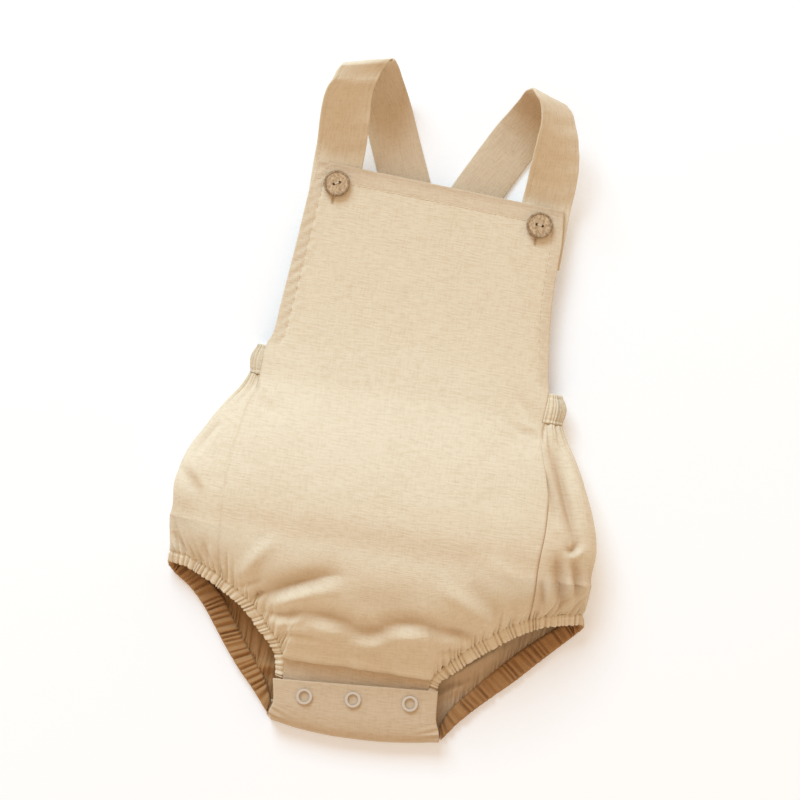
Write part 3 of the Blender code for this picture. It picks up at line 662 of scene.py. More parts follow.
def bump(tree, height, distance):
    """Normal of a fine relief; distance is its whole height in millimetres."""
    return add_node(tree, "Bump", {"Strength": 1.0, "Distance": distance * MM,
                                   "Height": height}).outputs[0]


def object_noise(tree, scale):
    place = add_node(tree, "TexCoord").outputs["Object"]
    return add_node(tree, "TexNoise", {"Scale": scale, "Vector": place}).outputs["Fac"]


def stretched_noise(tree, uv, scale, detail, seed):
    """Noise on the flat measure of the cloth; scale is cycles to the millimetre each way."""
    mapping = add_node(tree, "Mapping", {"Scale": (*scale, 1.0), "Vector": uv,
                                         "Location": (seed, 1.7 * seed, 0.6 * seed)})
    return add_node(tree, "TexNoise", {"Scale": 1.0, "Detail": detail, "Roughness": 0.55,
                                       "Vector": mapping.outputs[0]}).outputs["Fac"]


def linen_material(name, look):
    """Plain weave with slubs: long ones along the weft, shorter and fewer along the warp.

    The back faces, and the faces marked by the shade attribute, get painted shade: their colour is
    multiplied towards the shade colour.
    """
    made, tree, shader = new_material(name)
    uv = add_node(tree, "UVMap", uv_map="cloth").outputs["UV"]
    split = add_node(tree, "SeparateXYZ", {0: uv})
    pitch = 2.0 * math.pi / look.thread_pitch
    warp = calculate(tree, "SINE", calculate(tree, "MULTIPLY", split.outputs[0], pitch))
    weft = calculate(tree, "SINE", calculate(tree, "MULTIPLY", split.outputs[1], 1.08 * pitch))
    slub = stretched_noise(tree, uv, (0.15, 1.05), 3.0, 3.1)
    for layer, share in ((stretched_noise(tree, uv, (0.95, 0.16), 3.0, 8.7), 0.6),
                         (stretched_noise(tree, uv, (0.03, 0.03), 2.0, 1.3), 0.2),
                         (calculate(tree, "MULTIPLY", warp, weft), 0.05)):
        slub = calculate(tree, "ADD", slub, calculate(tree, "MULTIPLY", layer, share))
    threads = colour_ramp(tree, slub, look.dark_cloth, look.light_cloth, 0.50, 1.0)
    # painted shade: the marked faces and the back faces are multiplied towards the shade colour
    shade_mark = add_node(tree, "Attribute", attribute_name="painted_shade").outputs["Fac"]
    shaded = calculate(tree, "MULTIPLY",
                      add_node(tree, "NewGeometry").outputs["Backfacing"], 0.5)
    tone = add_node(tree, "Mix", {"Factor": calculate(tree, "MAXIMUM", shade_mark, shaded),
                                  "A": threads, "B": (*look.shade_colour, 1.0)},
                    data_type="RGBA", blend_type="MULTIPLY")
    wire(tree, shader, {
        "Base Color": tone.outputs["Result"], "Normal": bump(tree, slub, look.slub_relief),
        "Roughness": 0.88, "Sheen Weight": 0.08, "Sheen Roughness": 0.4,
        "Specular IOR Level": 0.2})
    return made


def thread_material(name, colour):
    made, tree, shader = new_material(name)
    shade = [0.88 * value for value in colour]
    wire(tree, shader, {"Roughness": 0.75, "Base Color": colour_ramp(
        tree, object_noise(tree, 900.0), shade, colour)})
    return made


def wood_material(name, light, dark):
    made, tree, shader = new_material(name)
    mapping = add_node(tree, "Mapping", {
        "Scale": (1.0, 0.7, 1.0), "Rotation": (0.0, 0.0, math.radians(24)),
        "Vector": add_node(tree, "TexCoord").outputs["Object"]})
    grain = add_node(tree, "TexNoise", {"Scale": 1000.0, "Detail": 4.0,
                                        "Vector": mapping.outputs[0]}).outputs["Fac"]
    wire(tree, shader, {"Base Color": colour_ramp(tree, grain, dark, light, 0.35, 0.68),
                        "Normal": bump(tree, grain, 0.08), "Roughness": 0.6})
    return made


def steel_material(name, colour):
    made, tree, shader = new_material(name)
    rough = add_node(tree, "MapRange", {"To Min": 0.12, "To Max": 0.24,
                                        "Value": object_noise(tree, 700.0)})
    wire(tree, shader, {"Roughness": rough.outputs[0], "Base Color": (*colour, 1.0),
                        "Metallic": 1.0})
    return made


def floor_material(name):
    made, tree, shader = new_material(name)
    pale = colour_ramp(tree, object_noise(tree, 3.0), (0.95, 0.95, 0.945), (0.97, 0.97, 0.965))
    wire(tree, shader, {"Base Color": pale, "Roughness": 0.9, "Emission Strength": 0.17,
                        "Emission Color": (0.70, 0.86, 1.0, 1.0)})
    return made


# ---------------------------------------------------------------- gathers
def leg_length(rows):
    """Length along a leg seam at even turns, for gathers that keep their spacing."""
    turns = np.linspace(0, 1, 400)
    steps = np.linalg.norm(np.diff(leg_point(rows, turns, False), axis=0), axis=1)
    return turns, np.concatenate([[0.0], np.cumsum(steps)])


LEG_MEASURE = {"left": leg_length(LEG_LEFT), "right": leg_length(LEG_RIGHT)}


def gather_wave(run, seed, pitch):
    """Uneven pleats along a casing: crests are wide, hollows narrow, no two alike."""
    warped = run + 0.55 * pitch * wander(run, 6.1 * pitch, seed) + 0.9 * np.sin(run / 17.0 + seed)
    wave = 0.75 - 2.0 * (0.5 - 0.5 * np.sin(2 * math.pi * warped / pitch)) ** 2
    size = 0.75 + 0.45 * wander(run, 4.3 * pitch, seed + 1.9)
    return size * wave


def gathers(run, away, seed):
    """Relief of the cloth that is drawn in by a casing, run along it and away from it."""
    away = np.maximum(away, 0.0)
    fine = 0.95 * gather_wave(run, seed, FINE_PITCH) * bell(
        away, 6.0 + 2.0 * wander(run, 19.0, seed))
    middle = 0.95 * gather_wave(run, seed + 2.2, MIDDLE_PITCH) * bell(
        away, 11 + 5 * wander(run, 31, seed))
    broad = 0.85 * gather_wave(run, seed + 4.7, BROAD_PITCH) * bell(
        away, 20 + 9 * wander(run, 47, seed))
    start = ease(away / 3.0)
    return fine + (0.35 + 0.65 * start) * middle + start * broad


# ---------------------------------------------------------------- heights of the pieces
def reach_to_edge(base, i):
    """Real length from the last straight row to the lower edge along a column, by its share."""
    start = base(i, np.full_like(i, LAST_ROW))
    end = base(i, np.full_like(i, FOOT))
    return np.linalg.norm(end - start, axis=-1)


def leg_measure(base, i, j, leg_share, last_turn):
    """Where a panel's points lie along the leg casings, how far off, how much on a leg."""
    left = i < 0.5
    near = np.minimum(i, 1 - i)
    turn = mix(SEAM_TURN, last_turn, np.clip(near / leg_share, -0.1, 1))
    run = np.where(left, np.interp(turn, *LEG_MEASURE["left"]),
                   np.interp(turn, *LEG_MEASURE["right"]))
    away = (1 - row_down(j)) * reach_to_edge(base, i) + np.maximum(0, j - LAST_ROW)
    return run, away, ease((leg_share + 0.01 - near) / 0.03), left


def back_girth(i):
    """Flat measure round the back, in millimetres, from its left seam."""
    return np.interp(i, [0, SIDE_SHARE, BEND_SHARE, 1 - BEND_SHARE, 1 - SIDE_SHARE, 1],
                     [0, 40, 62, 292, 314, BACK_GIRTH])


def slow_waves(x, y):
    """The uneven lie of cloth that nothing holds flat."""
    return (0.30 * wander(x + 0.3 * y, 67.0, 0.4) * wander(y - 0.2 * x, 58.0, 1.1)
            + 0.12 * wander(x, 23.0, 2.2) * wander(y, 27.0, 0.7))


def hem_relief(x, y, top, side, left):
    """Doubled hem round the bib: raised a little, drawn down along its stitching."""
    relief = 0.20 * ease((HEM_TOP + 0.6 - top) / 1.2)
    dimple = 0.6 + 0.4 * np.cos(2 * math.pi * (x + 0.1 * y) / HEM_STITCH)
    relief -= 0.30 * bell(top - HEM_TOP, 0.75) * dimple
    hem = np.where(left, HEM_LEFT, HEM_RIGHT)
    relief = np.maximum(relief, 0.20 * ease((hem + 0.6 - side) / 1.2))
    dimple = 0.6 + 0.4 * np.cos(2 * math.pi * y / HEM_STITCH)
    relief -= 0.32 * bell(side - hem, 0.75) * dimple
    slant = y - 0.9 * side
    span = bell(y - np.where(left, 68.0, 50.0), np.where(left, 46.0, 40.0))
    pucker = np.sin(2 * math.pi * slant / 7.2 + 0.8 * wander(y, 31.0, 2.0))
    relief += np.where(left, 0.62, 0.30) * pucker * span * bell(side - 5.0, 4.6)
    return relief


def front_height(look):
    def height(i, j, here):
        x, y = here[..., 0], here[..., 1]
        down = row_down(j)
        relief = slow_waves(x, y) * (1 - 0.5 * down) - 1.2 * bell(y + 84.0, 11.0)
        relief = relief - crease_field(FRONT_CREASES, x, y) * (1 - down ** 8)
        run, away, on_leg, left = leg_measure(front_base, i, j, *FRONT_LEGS)
        seed = np.where(left, 0.3, 1.7)
        relief = relief + look.gather_amount * on_leg * gathers(run, away, seed)
        relief = relief + (1.8 + 0.5 * wander(x, 29.0, 1.2)) * (1 - on_leg) * bell(away - 1.5, 4.0)
        if float(np.max(j)) > WAIST_TOP:
            width = 150.0 + 0.15 * (BIB_TOP - j)
            side = np.minimum(i, 1 - i) * width
            hem = hem_relief(x, y, BIB_TOP - j, side, i < 0.5)
            relief = relief + hem * ease((j - WAIST_TOP) / 4.0)
        return relief

    return height


def back_height(look):
    def height(i, j, here):
        x, y = here[..., 0], here[..., 1]
        near = np.minimum(i, 1 - i)
        under = ease((near - SIDE_SHARE) / (BEND_SHARE - SIDE_SHARE))
        run, away, on_leg, left = leg_measure(back_base, i, j, *BACK_LEGS)
        seed = np.where(left, 0.3, 1.7)
        pull = look.gather_amount * on_leg * gathers(run, away, seed)
        girth = back_girth(i)
        drawn = np.maximum(0.0, WAIST_FOOT - j)
        waist = (0.45 * gather_wave(girth, 5.1, 3.4) * bell(drawn, 7.0)
                 + 0.9 * gather_wave(girth, 2.6, 9.5) * bell(drawn, 17.0))
        side = slow_waves(x, y) + pull + waist - crease_field(SIDE_CREASES, x, y)
        side = side - (1.2 + 1.4 * ease(near / 0.05)) * bell(y + 83.0, 11.0)
        lift = (1.0 + 0.8 * np.tanh(1.6 * pull)) * bell(away, 22.0) * on_leg
        lift = lift + (0.6 + 0.5 * waist) * bell(drawn, 16.0)
        lift = lift + np.maximum(0.0, -crease_field(UNDER_CREASES, x, y))
        return mix(side, -np.maximum(lift, 0.0), under)

    return height


def casing_height(look, rows, seed):
    measure = leg_length(rows)

    def height(i, j, here):
        run = np.interp(i, *measure)
        across = np.clip(j, 0, 1)
        under = ease((i - 0.58) / 0.10)
        fine = (0.80 * gather_wave(run, seed, FINE_PITCH)
                + 0.35 * gather_wave(run, seed + 2.2, MIDDLE_PITCH))
        fine = fine * (0.75 + 0.45 * across)
        groove = 0.45 * bell(across - 0.10, 0.10)
        top = look.gather_amount * fine - groove
        return mix(top, -np.maximum(0.0, 0.5 + 0.5 * fine), under)

    return height


# ---------------------------------------------------------------- stitches
def stitch_run(name, points, outward, trim, material, slant=0.0):
    """One row of stitches lying along points; outward is the cloth's own direction there."""
    steps = np.linalg.norm(np.diff(points, axis=0), axis=1)
    run = np.concatenate([[0.0], np.cumsum(steps)])
    pitch = trim.stitch_length + trim.stitch_gap
    count = max(1, int(run[-1] / pitch))
    shape = bmesh.new()

    def between(values, where):
        return Vector([np.interp(where, run, values[:, axis]) for axis in range(3)])

    for k in range(count):
        middle = (k + 0.5) * run[-1] / count
        at, up = between(points, middle), between(outward, middle)
        along = (between(points, middle + 0.5) - between(points, middle - 0.5)).normalized()
        up = (up - up.dot(along) * along).normalized()
        turn = Matrix((along, up.cross(along), up)).transposed().to_4x4()
        turn = turn @ Matrix.Rotation(math.radians(slant + 3.0 * math.sin(7.0 * k)), 4, "Z")
        size = Matrix.Diagonal((0.5 * trim.stitch_length * (1 + 0.06 * math.sin(5.0 * k)),
                                0.5 * trim.stitch_width, 0.42 * trim.stitch_width, 1.0))
        place = Matrix.Translation(at + 0.12 * up) @ turn @ size
        bmesh.ops.create_uvsphere(shape, u_segments=8, v_segments=6, radius=1.0,
                                  matrix=Matrix.Scale(MM, 4) @ place @ Matrix.Rotation(
                                      math.pi / 2, 4, "Y"))
    add_object(name, mesh_from(name, shape), material, "linen")


# ---------------------------------------------------------------- settings
def colour(name, description, default):
    """A colour that a user may change."""
    return bpy.props.FloatVectorProperty(
        name=name, description=description, default=default, subtype="COLOR", min=0.0, max=1.0)


class RomperLook(bpy.types.PropertyGroup):
    light_cloth: colour("Light thread", "Raised threads of the linen", (0.845, 0.735, 0.55))
    dark_cloth: colour("Dark thread", "Sunk threads of the linen", (0.72, 0.59, 0.40))
    thread_pitch: bpy.props.FloatProperty(
        name="Thread pitch", description="Distance between two threads of the weave, mm",
        default=0.62, min=0.2, max=2.0)
    slub_relief: bpy.props.FloatProperty(
        name="Slub relief", description="Height of the slubs and threads, mm",
        default=0.27, min=0.0, max=1.0)
    gather_amount: bpy.props.FloatProperty(
        name="Gathers", description="Depth of the gathers at the casings, 1 as made",
        default=1.0, min=0.0, max=2.0)
    # Painted shade: the deep colour that the linen is multiplied towards where shade falls (back
    # faces, interior, creases, straps, crotch bands)
    shade_colour: colour(
        "Painted shade", "Tone of the cloth's wrong side against its right side",
        (0.55, 0.355, 0.205))
    # Painted shade: how far the whole straps are darkened towards the shade colour
    strap_shade: bpy.props.FloatProperty(
        name="Strap tone", description="How far the doubled straps take the wrong side's tone",
        default=0.06, min=0.0, max=1.0)
    # Painted shade: how far the placket and flap are darkened towards the shade colour
    crotch_shade: bpy.props.FloatProperty(
        name="Band tone", description="How far the crotch bands take the wrong side's tone",
        default=0.40, min=0.0, max=1.0)
    # Deeper tone of the doubled hem, with painted shade at the bib's top edge
    hem_tone_and_shade: bpy.props.FloatProperty(
        name="Hem tone", description="How far the bib's doubled hem takes the wrong side's tone",
        default=0.42, min=0.0, max=1.0)
    hem_radius: bpy.props.FloatProperty(
        name="Hem radius", description="Half the thickness of a folded hem, mm",
        default=0.7, min=0.3, max=2.0)


class RomperTrim(bpy.types.PropertyGroup):
    stitch_length: bpy.props.FloatProperty(
        name="Stitch length", description="Length of one stitch, mm", default=2.6, min=1, max=6)
    stitch_gap: bpy.props.FloatProperty(
        name="Stitch gap", description="Cloth between two stitches, mm", default=0.8, min=0.2,
        max=4)
    stitch_width: bpy.props.FloatProperty(
        name="Thread width", description="Width of the sewing thread, mm", default=0.36,
        min=0.1, max=1.5)
    thread_colour: colour("Thread", "Sewing thread", (0.86, 0.74, 0.55))
    tack_colour: colour("Bartack", "Thread of the buttonholes' bartacks", (0.52, 0.36, 0.20))
    wood_light: colour("Light wood", "Light grain of the buttons", (0.72, 0.54, 0.34))
    wood_dark: colour("Dark wood", "Dark grain of the buttons", (0.40, 0.265, 0.14))
    # The rims are darker than the faces: partly the wood's own darker edge, partly painted shade
    # for the dark outline where the button meets the cloth
    rim_light: colour("Light rim", "Light grain of the buttons' rims", (0.50, 0.35, 0.20))
    rim_dark: colour("Dark rim", "Dark grain of the buttons' rims", (0.24, 0.145, 0.07))
    steel_colour: colour("Steel", "Rings of the press snaps", (0.86, 0.90, 0.95))


class RomperStudio(bpy.types.PropertyGroup):
    camera_height: bpy.props.FloatProperty(
        name="Camera height", description="Camera above the surface", default=1.333,
        min=0.3, max=5.0, unit="LENGTH")
    lens: bpy.props.FloatProperty(name="Lens", description="Focal length, mm", default=100.0)
    tilt: bpy.props.FloatProperty(
        name="Turn", description="Turn of the camera about the vertical",
        default=math.radians(9.7), unit="ROTATION")
    window_place: bpy.props.FloatVectorProperty(
        name="Window", description="Middle of the window", default=(-2.03, 3.67, 2.72),
        subtype="TRANSLATION", unit="LENGTH")
    window_width: bpy.props.FloatProperty(
        name="Window width", description="Width of the window", default=2.9, unit="LENGTH")
    window_height: bpy.props.FloatProperty(
        name="Window height", description="Height of the window", default=2.1, unit="LENGTH")
    key: bpy.props.FloatProperty(
        name="Key light", description="Power of the window", default=214.0)
    key_colour: colour("Key colour", "Daylight from the window", (0.51, 0.762, 1.0))
    fill: bpy.props.FloatProperty(name="Fill", description="Brightness of the room", default=0.73)
    fill_colour: colour("Fill colour", "Warm light of the room", (1.0, 0.77, 0.57))


class RomperPiece:
    """Shared by the operators that build the garment."""
    bl_options = {"REGISTER", "UNDO"}

    @property
    def look(self):
        return bpy.context.scene.romper_look

    @property
    def trim(self):
        return bpy.context.scene.romper_trim

    def linen(self):
        return bpy.data.materials.get("slub_linen") or linen_material("slub_linen", self.look)

    def thread(self):
        return bpy.data.materials.get("sewing_thread") or thread_material(
            "sewing_thread", self.trim.thread_colour)

    def sew(self, name, line, up):
        stitch_run("stitches_" + name, line, up, self.trim, self.thread())

    def cloth(self, node, points, cloth_uv, up_at, flat, held, tone=None, area=None,
              rests_on=()):
        """Make the sheet that stands for a cloth solid of the frame; it faces up at up_at."""
        piece = sheet_object("romper_" + node, points, cloth_uv, self.linen(), tone)
        turn_outward(piece, up_at)
        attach(piece, "root")
        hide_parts(node)


class ROMPER_OT_front(RomperPiece, bpy.types.Operator):
    """Front panel: bib with doubled hems, body, gathers at the legs"""
    bl_idname = "romper.front"
    bl_label = "Front panel"

    def execute(self, context):
        look = self.look
        leg, rest = FRONT_LEG_SHARE, 1 - FRONT_LEG_SHARE
        columns = steady(0.0, (leg, 168), (rest, 62), (1, 168))
        rows = steady(BIB_TOP, (BIB_TOP - 14, 18), (WAIST_TOP, 44), (LAST_ROW, 58), (FOOT, 104))
        down = (BIB_TOP - np.array(rows)) / (BIB_TOP - FOOT)
        across, drop_down = rolled_axis(list(down), (BIB_TOP - FOOT) * np.ones(1),
                                        (look.hem_radius, 9.0), None)
        height = mix(BIB_TOP, FOOT, across[:, 0])
        bib = ease((height - WAIST_TOP) / 6.0)
        cut = section(np.maximum(height, LAST_ROW))
        width = cut["seam_right"] - cut["seam_left"]
        radius = mix(SEAM_EDGE[0], look.hem_radius, bib)
        tuck = mix(SEAM_EDGE[1], 5.6, bib)
        i, drop_i = rolled_axis(columns, width, (radius, tuck), (radius, tuck))
        i, drop_i = i.T, drop_i.T
        j = np.repeat(height[:, None], i.shape[1], axis=1)
        drop = drop_i + drop_down[:, :1]
        # the lower edge is rolled under too, where it meets the casings and the placket
        i = 0.5 + (i - 0.5) * (1 + 0.5 * (1 - bib) / width)[:, None]
        last = near_foot(j)
        middle = ease((np.minimum(i, 1 - i) - leg) / 0.02)
        over = mix(0.9, np.interp(i, [0.36, 0.48, 0.64], [3.4, 1.6, 0.9]), middle)
        drop = drop + mix(1.3, 2.6, middle) * last ** 2
        j = j - over * ease((FOOT + 12.0 - j) / 12.0) * (LAST_ROW - FOOT) / reach_to_edge(
            front_base, i)
        points = spread(front_base, front_height(look), i, j, drop, (0.012, 5.0),
                        (0.5, 60.0, UP))
        flat = np.stack([mix(cut["seam_left"][:, None], cut["seam_right"][:, None], i), j], -1)
        # Painted shade: a narrow dark line along the side seams below the waist, stronger on the
        # right, darker cloth in the creases, and a darker bib top edge. The hem band's deeper tone
        # is the doubled cloth's own.
        below = BIB_TOP - j
        inward = np.minimum(i, 1 - i) * width[:, None]
        top = 0.45 * ease((HEM_TOP + 0.4 - below) / 0.8) + 0.55 * bell(below, 3.5)
        beside = 0.35 * ease((HEM_LEFT - inward) / 0.8) * bib[:, None]
        seam = bell(inward, 1.0) * (1 - bib)[:, None]
        seam = seam * np.where(i < 0.5, 0.15, mix(0.15, 0.8, ease((-36.0 - j) / 12.0)))
        tone = look.hem_tone_and_shade * np.maximum(top, beside) + seam
        tone = tone + painted_crease_shade(front_base, front_height(look), i, j, *FRONT_CREASE_SHADE)
        self.cloth("front_panel", points, flat, (0, 60, 13), (0.215, 0.365), "laid", tone,
                   flat_area(points), ["strap_left", "strap_right"])
        return {"FINISHED"}


class ROMPER_OT_back(RomperPiece, bpy.types.Operator):
    """Back panel: flat on the surface, up round the sides, gathered at waist and legs"""
    bl_idname = "romper.back"
    bl_label = "Back panel"

    def execute(self, context):
        look = self.look
        half = steady(0.0, (SIDE_SHARE, 72), (BEND_SHARE, 30), (BACK_LEG_SHARE, 140))
        columns = mirrored(half, 50)
        rows = np.array(steady(WAIST_FOOT, (LAST_ROW, 64), (FOOT, 74)))
        i, drop_i = rolled_axis(columns, BACK_GIRTH + 0 * rows, SEAM_EDGE, SEAM_EDGE)
        i, drop_i = i.T, drop_i.T
        j = np.repeat(rows[:, None], i.shape[1], axis=1)
        near = np.minimum(i, 1 - i)
        last = near_foot(j)
        j = j - 0.9 * last ** 2 * (LAST_ROW - FOOT) / reach_to_edge(back_base, i)
        last = last * ease((BEND_SHARE - near) / 0.06)
        i = 0.5 + (i - 0.5) * (1 + 0.4 / BACK_GIRTH)
        drop = drop_i + 1.2 * last ** 2 + 0.5 * bell(WAIST_FOOT - j, 1.2) * (near < SIDE_SHARE)
        points = spread(back_base, back_height(look), i, j, drop, (6e-3, 10.0),
                        (0.5, -40.0, DOWN))
        flat = np.stack([back_girth(i), j], -1)
        # Painted shade: the back's floor, seen from inside through the leg openings, is darkened,
        # less on the right, and the sides darken in their creases
        floor = ease((near - BEND_SHARE) / 0.02)
        tone = floor * mix(1.0, 0.5, ease((i - 0.45) / 0.1))
        side_crease_shade = painted_crease_shade(back_base, back_height(look), i, j, *BACK_CREASE_SHADE)
        tone = tone + side_crease_shade * ease((SIDE_SHARE * 1.3 - near) / 0.02)
        self.cloth("back_panel", points, flat, (-112, -60, 30), (0.40, 0.215), "laid", tone,
                   0.072)
        return {"FINISHED"}


class ROMPER_OT_waist(RomperPiece, bpy.types.Operator):
    """Elastic waist casing round the back, its ends at the bib's sides"""
    bl_idname = "romper.waist"
    bl_label = "Waist casing"

    def execute(self, context):
        look = self.look
        columns = mirrored(steady(0.0, (SIDE_SHARE, 50), (BEND_SHARE, 40)), 200)
        i, down, drop = rolled_patch(columns, steady(0.0, (1, 26)), WAIST_GIRTH, WAIST_WIDTH,
                                     *EDGES["waist_casing"])
        j = mix(WAIST_TOP, WAIST_FOOT, down)

        def height(a, b, here):
            girth = back_girth(a)
            near = np.minimum(a, 1 - a)
            under = ease((near - SIDE_SHARE) / (BEND_SHARE - SIDE_SHARE))
            wave = 0.55 * gather_wave(girth, 5.1, 3.4) + 0.3 * gather_wave(girth, 1.2, 7.0)
            groove = 0.5 * bell(b - WAIST_FOOT - 2.2, 0.9) + 0.3 * bell(b - WAIST_TOP + 2.4, 0.9)
            side = look.gather_amount * wave - groove + 0.4 * bell(b - 12.0, 5.0)
            return mix(side, -np.maximum(0.0, 0.6 + 0.6 * wave), under)

        points = spread(back_base, height, i, j, drop, (5e-4, 0.05), (0.5, 12.0, DOWN))
        self.cloth("waist_casing", points, np.stack([back_girth(i), j], -1), (-91, 12, 14),
                   (0.30, 0.040), "gathered")
        return {"FINISHED"}


class ROMPER_OT_legs(RomperPiece, bpy.types.Operator):
    """Elastic casings round the leg openings"""
    bl_idname = "romper.legs"
    bl_label = "Leg casings"

    def execute(self, context):
        for side, rows, seed in (("left", LEG_LEFT, 0.3), ("right", LEG_RIGHT, 1.7)):
            turns = np.linspace(0, 1, 620)
            seam, free = leg_point(rows, turns, False), leg_point(rows, turns, True)
            width = np.linalg.norm(free - seam, axis=-1)
            radius = mix(1.15, 1.6, ease((turns - 0.55) / 0.2))
            edge = (radius, 0.5 * width - radius)
            across, drop = rolled_axis(steady(0.0, (1, 14)), width, edge, edge, 6)
            i = np.repeat(turns[None, :], across.shape[0], axis=0)
            run = np.interp(i, *leg_length(rows))
            behind = ease((i - 0.52) / 0.06)
            # painted shade: the casing's part inside the garment is darkened, fully where its
            # edges roll under, and the front part darkens in its gathers
            painted_shade = behind * ease(drop / radius + 0.35)
            drop = drop * (1.0 + 0.45 * behind * gather_wave(run, seed + 0.8, 4.0))

            def base(a, b, rows=rows):
                return casing_base(rows, a, b)

            height = casing_height(self.look, rows, seed)
            points = spread(base, height, i, across, drop, (1e-3, 1e-2), (0.3, 0.5, UP))
            painted_shade = painted_shade + (1 - behind) * painted_crease_shade(base, height, i, across,
                                                         *CASING_CREASE_SHADE)
            self.cloth("leg_casing_" + side, points, np.stack([run, across * width], -1),
                       tuple(0.5 * (seam[180] + free[180])), (0.24, 0.026), "gathered", painted_shade)
        return {"FINISHED"}


class ROMPER_OT_crotch(RomperPiece, bpy.types.Operator):
    """Front placket and the back's flap that laps over it"""
    bl_idname = "romper.crotch"
    bl_label = "Crotch"

    def execute(self, context):
        width, length = PLACKET_SIZE
        i, j, drop = rolled_patch(steady(0.0, (1, 130)), steady(0.0, (1, 40)), width, length,
                                  *EDGES["front_placket"])

        def placket_height(a, b, here):
            x, y = here[..., 0], here[..., 1]
            fold = 0.5 * wander(x, 31.0, 0.8) * bell(b - 0.15, 0.12)
            return fold + 0.25 * wander(x + 0.4 * y, 17.0, 2.8) - 0.3 * bell(b - 0.06, 0.02)

        points = spread(placket_base, placket_height, i, j, drop, (1e-3, 1e-3), (0.5, 0.5, UP))
        # painted shade: the whole placket is darkened evenly towards the shade colour
        self.cloth("front_placket", points, np.stack([width * i, -length * j], -1),
                   (0, -175, 9), (0.094, 0.046), "laid",
                   np.full(points.shape[:2], self.look.crotch_shade))

        width, length = FLAP_SIZE
        i, j, drop = rolled_patch(steady(0.0, (1, 170)), steady(0.0, (1, 90)), width, length,
                                  *EDGES["crotch_flap"])

        def flap_height(a, b, here):
            x, y = here[..., 0], here[..., 1]
            relief = 0.12 * wander(x, 37.0, 0.9) * wander(y, 19.0, 1.7)
            for edge, seed in ((0.0, 0.4), (1.0, 2.9)):
                inward = (width - 1.0) * np.abs(a - edge)
                pleat = np.sin(2 * math.pi * (y + 0.35 * inward) / 3.6
                               + 0.9 * wander(y, 9.0, seed))
                relief = relief + 0.55 * pleat * bell(inward, 9.0) * bell(b - 0.56, 0.12)
            return relief - (0.28 * bell((width - 1.0) * (1 - a) - 9.0, 0.7)
                             * ease((b - 0.55) / 0.1))

        i = 0.5 + (i - 0.5) * (1 + 2.0 / width * ease((0.56 - j) / 0.15))
        points = spread(flap_base, flap_height, i, j, drop, (1e-3, 2e-3), (0.5, 0.9, UP))
        # painted shade: the whole flap is darkened evenly, as it lies in the belly's shade
        self.cloth("crotch_flap", points, np.stack([width * i, length * j], -1),
                   (0, -180, 13), (0.106, 0.072), "folded",
                   np.full(points.shape[:2], self.look.crotch_shade))
        return {"FINISHED"}


class ROMPER_OT_straps(RomperPiece, bpy.types.Operator):
    """Shoulder straps, stitched along both edges"""
    bl_idname = "romper.straps"
    bl_label = "Straps"

    def execute(self, context):
        for side, rows, seed, turn_shade in (("left", STRAP_LEFT, 0.6, 0.0),
                                       ("right", STRAP_RIGHT, 2.1, 0.28)):
            along = np.linspace(0, 1, 420)
            edge = (0.8, 0.5 * STRAP_WIDTH - 0.8)
            across, drop = rolled_axis(steady(0.0, (1, 44)), STRAP_WIDTH + 0 * along, edge,
                                       edge)
            j = np.repeat(along[None, :], across.shape[0], axis=0)

            def base(a, b, rows=rows):
                return strap_base(rows, a, b)

            def height(a, b, here, seed=seed):
                aside = np.minimum(a, 1 - a) * STRAP_WIDTH
                run = STRAP_LENGTH * b
                relief = 0.55 * wander(run + 0.3 * aside, 37.0, seed)
                relief = relief - 0.22 * bell(aside - 2.6, 0.6)
                relief = relief + 0.10 * np.sin(run / 2.1 + seed) * bell(aside, 2.4)
                return relief * ease((here[..., 2] - 0.3) / 5.0)

            probe, nudge = (0.5, 0.1, UP), (1e-2, 2e-3)
            points = spread(base, height, across, j, drop, nudge, probe)
            middle = base(0.5 + 0 * along, along)
            run = np.concatenate([[0], np.cumsum(np.linalg.norm(np.diff(middle, axis=0),
                                                                axis=1))])
            flat = np.stack([np.repeat(run[None, :], across.shape[0], axis=0),
                             across * STRAP_WIDTH], -1)
            # painted shade: the whole strap a little, its return leg more, and the right strap
            # most just past its turn
            tone = (self.look.strap_shade + 0.28 * ease((j - 0.5) / 0.05)
                    + turn_shade * bell(j - 0.56, 0.06))
            self.cloth("strap_" + side, points, flat, tuple(middle[60]),
                       (2 * STRAP_WIDTH * MM, run[-1] * MM), "folded", tone)
            sewn = np.linspace(STRAP_FIRST_STITCH, STRAP_LAST_STITCH, 600)
            for index, row in enumerate(STRAP_ROWS):
                self.sew("strap_%s_%d" % (side, index), *lay(
                    base, height, row + 0 * sewn, sewn, facing_of(base, *probe), 0.0, nudge))
        return {"FINISHED"}


class ROMPER_OT_stitching(RomperPiece, bpy.types.Operator):
    """Rows of stitches on the bib's hems"""
    bl_idname = "romper.stitching"
    bl_label = "Stitching"

    def execute(self, context):
        share = np.linspace(0.012, 0.988, 600)
        row = np.linspace(BIB_TOP - 1.0, WAIST_TOP + 2.0, 500)
        cut = section(row)
        width = cut["seam_right"] - cut["seam_left"]
        facing = facing_of(front_base, 0.5, 60.0, UP)
        for name, i, j in (("bib_top", share, 0 * share + BIB_TOP - HEM_TOP),
                           ("bib_left", HEM_LEFT / width, row),
                           ("bib_right", 1 - HEM_RIGHT / width, row)):
            self.sew(name, *lay(front_base, front_height(self.look), i, j, facing, 0.0,
                                (1e-3, 0.05)))
        return {"FINISHED"}


